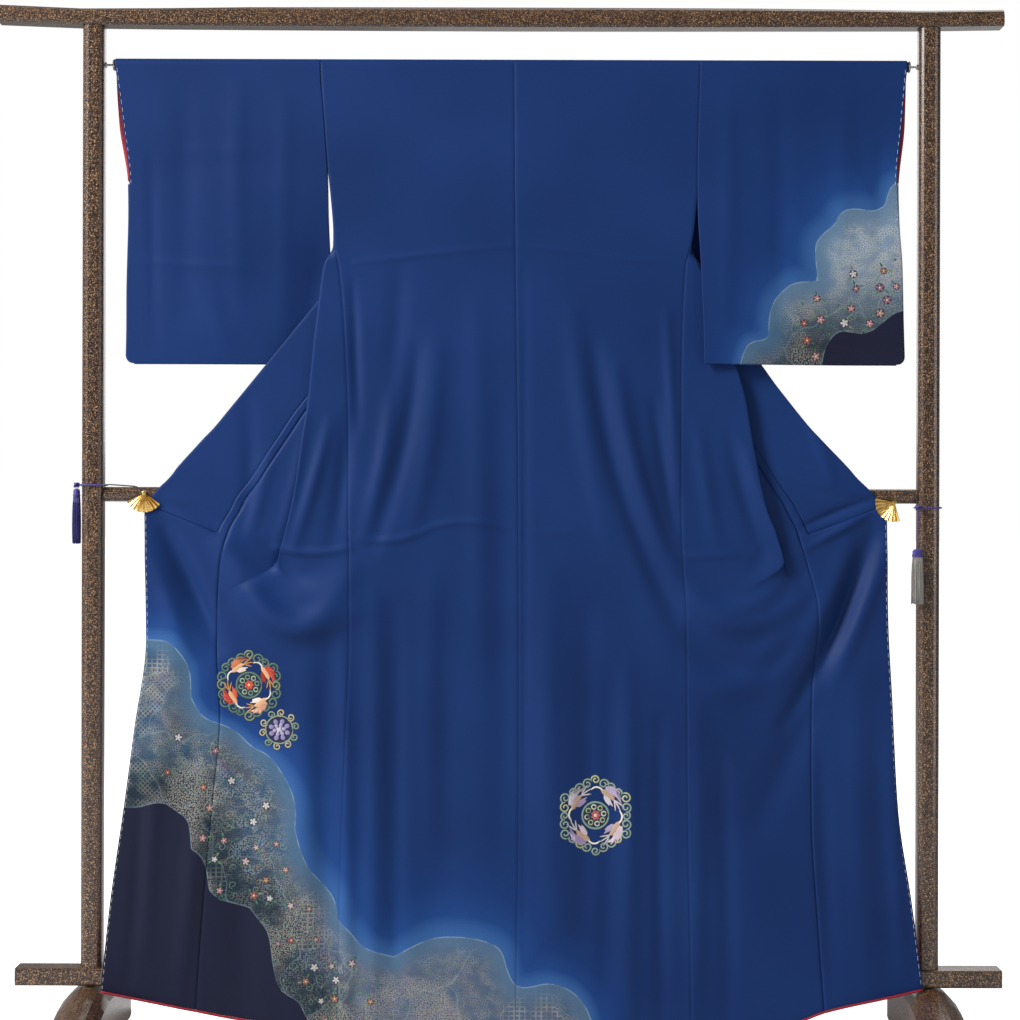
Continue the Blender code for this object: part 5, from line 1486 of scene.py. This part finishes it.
def scroll_frame(motifs, at, wide, tall, curls, pale, gold, edge):
    """A six-sided frame of linked scrolls, each wound the other way from its neighbour."""
    size = math.pi * (wide + tall) / 2 / curls * 0.5
    inner = (wide - 2 * size, tall - 2 * size)
    for k, turn, _ in around(curls, math.pi / 2):
        middle = six_sided(turn, *inner)
        ahead = six_sided(turn + 0.02, wide, tall) - six_sided(turn - 0.02, wide, tall)
        facing = math.atan2(ahead[1], ahead[0])
        hand = 1 if k % 2 else -1
        grown = size * (1.08 if k % 3 else 0.9)
        shape = curl(grown, 1.35, facing + (math.pi if hand > 0 else 0), hand, 16) + middle
        motifs.cord(laid(shape, at), 2.4, pale if k % 5 else gold, edge)
        after = six_sided(turn + 2 * math.pi / curls, *inner)
        out = (middle + after) / 2
        out = out * (1 + hand * size * 0.55 / np.linalg.norm(out))
        motifs.ribbon(laid(smooth_line([middle, out, after], 4), at), 1.3, edge, 0.2)


CREST_GROUND = "#14213f"


def roundel(motifs, facts):
    """A small round flower crest: a thick ring, eight hollow petals and a heart."""
    at = facts["at"]
    radius = facts["crest"]
    motifs.disc(at, radius * 1.12, 26, CREST_GROUND, 0.12, 0.02)
    motifs.cord(laid(circle(radius, 26), at), radius * 0.14, facts["ring_code"], facts["edge"])
    for k, _, way in around(8, 0.2):
        loop = circle(radius * 0.17, 9) + way * radius * 0.64
        motifs.ribbon(laid(loop, at), radius * 0.11, facts["loops"][k % 2], 0.6, 0.05)
    for _, turn, way in around(7):
        shape = oval(radius * 0.3, radius * 0.24, way * radius * 0.24, turn, 8)
        motifs.patch(laid(shape, at), facts["heart"], 0.6, 0.1)
    motifs.disc(at, radius * 0.13, 6, facts["middle"], 0.9, 0.1)


MEDALLIONS = {
    "medallion_red_birds": dict(
        at=(-427.5, 1021), wide=105, tall=117, curls=20, turn=0.62, ring=33, bird=1.0,
        wings=("#c93324", "#d9774f", "#c12a22", "#e0a084"),
        seconds=("#a8261f", "#ead9cc", "#d9603a", "#f0e4da"), body="#e6b184", tail="#c98f4a",
        pale="#587a68", gold="#7f8f66", edge="#10203a", crest=20.5,
        ring_code="#54776a", loops=("#6f9079", "#9db48e"), heart="#d2502f", middle="#f0b27c",
    ),
    "medallion_lilac_birds": dict(
        at=(135, 1230.5), wide=117, tall=133, curls=24, turn=1.0, ring=38, bird=1.16,
        wings=("#b9a7c6", "#d3c6d6", "#a58fbd", "#cdb9c6"),
        seconds=("#d8ced8", "#a996bd", "#d6c3cc", "#b3a3c0"), body="#bf9f84", tail="#cfc7c9",
        pale="#8ea69b", gold="#b3bb8c", edge="#132038", crest=21.5,
        ring_code="#7f9f98", loops=("#c9cdb6", "#a9b38a"), heart="#b9605c", middle="#ecd0c0",
    ),
}


def medallion(name, motifs):
    """A six-sided scroll frame with four birds flying round a flower crest."""
    facts = MEDALLIONS[name]
    at, ring, scale = facts["at"], facts["ring"], facts["bird"]
    scroll_frame(motifs, at, *(
        facts[key] for key in ("wide", "tall", "curls", "pale", "gold", "edge")
    ))
    roundel(motifs, facts)
    for k, start, _ in around(4, facts["turn"]):

        def bend(points):
            """Bends a bird's drawing round the ring, so that it flies along it."""
            points = np.asarray(points, float) * scale
            angle = start + points[:, 0] / ring
            radius = ring + points[:, 1]
            return np.stack(
                [at[0] + radius * np.cos(angle), at[1] - radius * 1.06 * np.sin(angle)], 1
            )

        bird(motifs, bend, scale, facts["wings"][k], facts["seconds"][k], facts["body"],
             facts["tail"])
    return motifs.finish(name)


LILAC_AT = (-378, 1093)
LILAC_EDGE = "#10203a"
LILAC_RINGS = ((13.8, 8, 10, "#9388b4"), (7.5, 6, 8, "#aca3c6"), (2.6, 4, 5.5, "#cdc5d8"))


def lilac_medallion(motifs):
    """A layered lilac flower in a ring of gold and green curls."""
    for k, turn, way in around(10, 0.2):
        shape = curl(6.6, 1.3, turn + math.pi, 1 if k % 2 else -1, 15) + way * 27.5
        motifs.cord(laid(shape, LILAC_AT), 2.1, "#b9b088" if k % 3 else "#7c937c", LILAC_EDGE)
    motifs.cord(laid(circle(22.5, 26), LILAC_AT), 1.9, "#8d9f8c", LILAC_EDGE)
    motifs.disc(LILAC_AT, 21, 22, "#161e44", 0.12, 0.02)
    for ring, count, size, code in LILAC_RINGS:
        for _, turn, way in around(count, ring):
            shape = oval(size * 1.05, size * 0.92, way * ring, turn, 8)
            motifs.patch(laid(shape, LILAC_AT), code, 0.35 + 0.03 * (16 - ring))
    motifs.disc(LILAC_AT, 1.8, 6, "#e0c98c", 1.0)
    return motifs.finish("medallion_lilac_flower")


PETALS = ("#b88c93", "#b9abad", "#975a50", "#a5795c", "#8f6f86", "#c3c9cd", "#a98987")
LEAVES = ("#3f7357", "#5c8560", "#2f5f58", "#6f8a68")
VINES = ("#5d8a7c", "#7f9a8a", "#3f6f68", "#8fa6a0")
TRIES = 5000


def flower_field(motifs, band, box, count, size, keep_in, spread, seed):
    """Small blossoms, leaves and tendrils strewn in the band, thickest near its lower edge."""
    pick = np.random.default_rng(seed)
    tried = np.stack([pick.uniform(*box[:2], TRIES), pick.uniform(*box[2:], TRIES)], 1)
    to_cloud, to_night, _ = band_distances(tried[:, 0], tried[:, 1], *BANDS[band])
    liked = np.exp(-((np.abs(to_night) - spread) / spread) ** 2)
    wanted = (to_cloud > keep_in) & (to_night < -8) & (pick.uniform(0, 1, TRIES) < liked)
    spots = []
    for x, drop in tried[wanted]:
        if all(math.hypot(x - sx, drop - sd) > 1.9 * size for sx, sd in spots):
            spots.append((x, drop))
    for number, (x, drop) in enumerate(spots):
        angle = pick.uniform(0, 2 * math.pi)
        hand = 1 if pick.uniform() > 0.5 else -1
        if number < count:
            radius = pick.uniform(0.8, 1.2) * size / 2
            blossom(motifs, (x, drop), radius, PETALS[pick.integers(len(PETALS))], angle)
            reach = radius * 1.05
            for k in range(pick.integers(2, 4)):
                way = angle + 1.9 * k + pick.uniform(-0.4, 0.4)
                base = (x + reach * math.cos(way), drop - reach * math.sin(way))
                green = LEAVES[pick.integers(len(LEAVES))]
                leaf(motifs, base, pick.uniform(0.6, 0.95) * size, way, green)
        tendril = curl(pick.uniform(0.5, 0.8) * size, 1.1, angle, hand, 10)
        centre = (x + size * math.cos(angle), drop + size * math.sin(angle))
        motifs.ribbon(laid(tendril, centre), 1.2, VINES[pick.integers(len(VINES))], 0.25)
        if number >= count and number % 2:
            leaf(motifs, (x, drop), 0.7 * size, angle, LEAVES[pick.integers(len(LEAVES))])
    return motifs.finish(f"strewn_flowers_{band}")


# The stand's small things

def tube_piece(name, points, radius, sides, finish, nodes, closed=False):
    """A round cord along points, in garment millimetres."""
    points = np.asarray(points, float)
    line = np.vstack([points, points[:1]]) if closed else points
    mesh = mesh_of(name, *swept(line, 2 * radius, 2 * radius, sides))
    return piece(mesh, (finish,), nodes)


def smooth_route(points, count):
    """Even points on a smooth curve through a given route."""
    points = np.array(points, float)
    steps = np.linalg.norm(np.diff(points, axis=0), axis=1)
    marks = np.concatenate([[0], np.cumsum(steps)])
    axes = [through(marks, points[:, k]) for k in range(3)]
    return np.stack([axis(np.linspace(0, marks[-1], count)) for axis in axes], 1)


CORD_ROUTES = {
    "left": ((-602.7, -23.2, 899.5), (-614, -23.5, 906.5), (-631, -24, 908),
             (-646, -23.5, 909), (-658, -21, 909.5), (-666.8, -18.1, 908.9)),
    "right": ((622.7, -23.2, 887.5), (632, -24, 897.5), (643, -25, 900.5),
              (652.5, -25.2, 896), (657.6, -24.7, 881.2)),
}
KNOTS = {"left": (-713.7, 0, 903.8), "right": (657.9, -24.7, 870.5)}
TASSEL_BRAID = ((657.9, -24.7, 870.2), (657.5, -24.7, 839.75), (657.0, -24.7, 809.2))
TASSEL_LENGTH = 93.0
TASSELS = {
    "left": dict(
        top=(-713.7, 0, 903.5), full=5.4, flat=1.0, finish=PURPLE_TASSEL, slot="purple_cord",
        seed=7,
    ),
    "right": dict(
        top=(657.0, -24.7, 809.0), full=8.2, flat=0.55, finish=GREY_TASSEL, slot="grey_silk",
        seed=8,
    ),
}
STRANDS = 120
STRAND_RADIUS = 0.55
# Each strand's root is turned by this much from the one before, which spreads them evenly
GOLDEN_TURN = 2.39996
HEAD_SIDES = 24
HEAD_PROFILE = (
    (0.4, 0), (2.6, -0.4), (4.6, -2.2), (5.6, -5.0), (5.2, -7.4), (5.7, -9.2), (6.0, -12.5),
    (5.4, -14.0), (0.4, -14.4),
)
HEAD_FULL = 5.4


def tassel(side):
    """A tassel: a bound head whose underside holds the roots of many fine strands."""
    facts = TASSELS[side]
    x, y, top = facts["top"]
    full, flat = facts["full"], facts["flat"]
    pick = np.random.default_rng(facts["seed"])
    turns = np.linspace(0, 2 * math.pi, HEAD_SIDES, endpoint=False)
    ridge = full / HEAD_FULL * (1 + 0.03 * np.cos(turns * 12))
    verts = []
    for radius, height in HEAD_PROFILE:
        reach = radius * ridge
        verts += np.stack(
            [x + reach * np.cos(turns), y + flat * reach * np.sin(turns), 0 * turns + top + height],
            1,
        ).tolist()
    faces = roll_faces(grid(len(HEAD_PROFILE), HEAD_SIDES))
    head_faces = len(faces)
    share = np.linspace(0, 1, 7)
    for strand in range(STRANDS):
        turn = strand * GOLDEN_TURN
        drop = TASSEL_LENGTH - 2 - pick.uniform(0, 5)
        spread = 1.28 + pick.uniform(-0.06, 0.06)
        sway = pick.uniform(-0.7, 0.7)
        reach = full * math.sqrt((strand + 0.5) / STRANDS) * (1 + (spread - 1) * np.sqrt(share))
        line = np.stack([
            x + reach * math.cos(turn) + sway * np.sin(math.pi * share),
            y + flat * reach * math.sin(turn) + sway * np.sin(math.pi * share + 1) * share,
            top + np.linspace(-13, -drop, 7),
        ], 1)
        ring = STRAND_RADIUS * np.array([(*way, 0) for _, _, way in around(3)])
        faces += roll_faces(grid(len(line), 3, len(verts)))
        verts += (line[:, None] + ring).reshape(-1, 3).tolist()
    mesh = mesh_of(f"tassel_strands_{side}", verts, faces)
    obj = piece(mesh, (facts["finish"], PURPLE_CORD), (f"tassel_{side}",))
    for polygon in mesh.polygons[:head_faces]:
        polygon.material_index = 1
    return obj


def knot(side):
    """A round knot: one cord wound over itself."""
    x, y, low = KNOTS[side]
    t = np.linspace(0, 2 * math.pi, 90, endpoint=False)
    radius = 3.1 + 1.2 * np.cos(3 * t)
    line = np.stack([
        x + radius * np.cos(2 * t), y + radius * np.sin(2 * t), low + 5 + 2.9 * np.sin(3 * t),
    ], 1)
    tube_piece(f"wound_knot_{side}", line, 1.55, 8, PURPLE_CORD,
               (f"cord_knot_{side}",), closed=True)


def post_braid(side):
    """The cord's loop round its post, at the knot's level, with the post's rounded corners."""
    x = POST_LEFT if side == "left" else POST_RIGHT
    turns = np.linspace(0, 2 * math.pi, 72, endpoint=False)
    c, s = np.cos(turns), np.sin(turns)
    reach = (POST_WIDTH / 2 + 2.1) / (np.abs(c) ** 5 + np.abs(s) ** 5) ** 0.2
    loop = np.stack([x + reach * c, reach * s, 0 * c + KNOTS[side][2] + 5], 1)
    tube_piece(f"post_braid_{side}", loop, 1.6, 10, PURPLE_CORD,
               (f"post_loop_{side}",), closed=True)


def cords():
    """The clips' cords, the knots, and the tassels that hang from them."""
    for side in SIDE_NAMES:
        tube_piece(f"clip_braid_{side}", smooth_route(CORD_ROUTES[side], 40), 1.1, 10,
                   BLACK_CORD, (f"clip_cord_{side}",))
        post_braid(side)
        knot(side)
    for side in SIDE_NAMES:
        tassel(side)
    tube_piece("tassel_braid_right", smooth_route(TASSEL_BRAID, 24), 0.9, 8, PURPLE_CORD,
               ("tassel_cord_right",))


# The solids that keep their own shape, by how their names start
WOOD = ("post_left", "post_right", "foot", "top_beam", "lower_beam", "middle_rail")
SOLID_FINISHES = {
    **dict.fromkeys(WOOD, LACQUER), "sleeve_rod": BLACK_STEEL, "rod_pin": PIN_STEEL, "fan": GOLD,
}


def dress_solids():
    """Finishes for the solids that keep their own shape."""
    for name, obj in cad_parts.items():
        for start, finish in SOLID_FINISHES.items():
            if name.startswith(start):
                for slot in obj.material_slots:
                    slot.material = finish


# The studio. Lamps: name, place in metres, width and height, and power in watts
FLOOR_REACH = 60.0
LAMPS = (
    ("key", (-4.3, -2.6, 4.2), 1.5, 2.2, 470.0),
    ("tall_left", (-2.4, -2.6, 0.9), 0.3, 3.2, 7.0),
    ("tall_right", (2.5, -2.6, 0.8), 0.3, 3.2, 16.0),
    ("back", (0.6, 3.0, 2.6), 2.2, 3.5, 34.0),
)
LAMP_AIM = (0.02, 0, 0.85)
SENSOR = 36.0
FOCUS_AWAY = CAMERA_AWAY - 20


def studio():
    """A pale floor, soft lights and the camera.

    Sky and floor shine white only for the camera, and light the cloth much less.
    """
    scene = bpy.context.scene
    scene.view_settings.view_transform = "Standard"
    scene.world = bpy.data.worlds.new("pale_studio")
    scene.world.use_nodes = True
    sky = scene.world.node_tree
    seen = put(sky, "LightPath").outputs["Is Camera Ray"]
    strength = put(sky, "MapRange", {"Value": seen, "To Min": 0.2, "To Max": 1.0})
    feed(sky.nodes["Background"], {"Color": linear("#ffffff"), "Strength": strength})

    floor_finish, tree, shader = new_finish("studio_floor_pale", {
        "Roughness": 0.9, "Base Color": linear("#d9d9d9"), "Emission Color": linear("#ffffff"),
    })
    feed(shader, {"Emission Strength": put(tree, "LightPath").outputs["Is Camera Ray"]})
    mesh = bpy.data.meshes.new("studio_floor")
    corners = [(-1, -1, 0), (1, -1, 0), (1, 1, 0), (-1, 1, 0)]
    mesh.from_pydata((np.array(corners) * FLOOR_REACH).tolist(), [], [(0, 1, 2, 3)])
    mesh.materials.append(floor_finish)
    floor = bpy.data.objects.new("studio_floor", mesh)
    scene.collection.objects.link(floor)

    for name, place, size, tall, power in LAMPS:
        data = bpy.data.lights.new(name, "AREA")
        data.shape = "RECTANGLE"
        data.size = size
        data.size_y = tall
        data.energy = power
        lamp = bpy.data.objects.new(name, data)
        lamp.location = place
        aim = Vector(LAMP_AIM) - Vector(place)
        lamp.rotation_euler = aim.to_track_quat("-Z", "Y").to_euler()
        scene.collection.objects.link(lamp)

    lens = bpy.data.cameras.new("camera")
    lens.sensor_width = SENSOR
    lens.lens = SENSOR * FOCUS_AWAY / VIEW_WIDTH
    lens.clip_end = 100.0
    camera = bpy.data.objects.new("camera", lens)
    camera.location = (CAMERA_X * MM, -CAMERA_AWAY * MM, CAMERA_Z * MM)
    camera.rotation_euler = (math.pi / 2, -math.radians(CAMERA_ROLL), 0)
    scene.collection.objects.link(camera)
    scene.camera = camera


def main():
    """The studio, the garment side by side, what is embroidered on it, and the stand."""
    studio()
    for side in SIDE_NAMES:
        body, back_row, front_row = body_cloth(side)
        collar = collar_cloth(side)
        okumi, okumi_row, free_edge = okumi_cloth(side)
        sleeve, cuff = sleeve_cloth(side)
        strip = cuff_strip(side)
        hem_roll(side, back_row, front_row, okumi_row)
        inward = -SIGN[side]
        edge_thread = stitches(f"edge_basting_{side}", free_edge, (inward * 2.4, -1.4, 0))
        opening = [point for point in cuff if SHOULDER - point[2] < CUFF_BOTTOM + 8]
        cuff_thread = stitches(f"cuff_basting_{side}", opening, (inward * 2.4, -0.75, 0))
        facing = [side_facing()] if side == "right" else []
    face = Face()
    for name in MEDALLIONS:
        medallion(name, Motifs(face))
    lilac_medallion(Motifs(face))
    flower_field(Motifs(face), "skirt", (-560, 120, 1080, 1570), 34, 11.0, 30, 62, 3)
    flower_field(Motifs(face), "sleeve", (470, 628, 290, 485), 15, 12.0, 24, 30, 5)
    cords()
    dress_solids()


main()
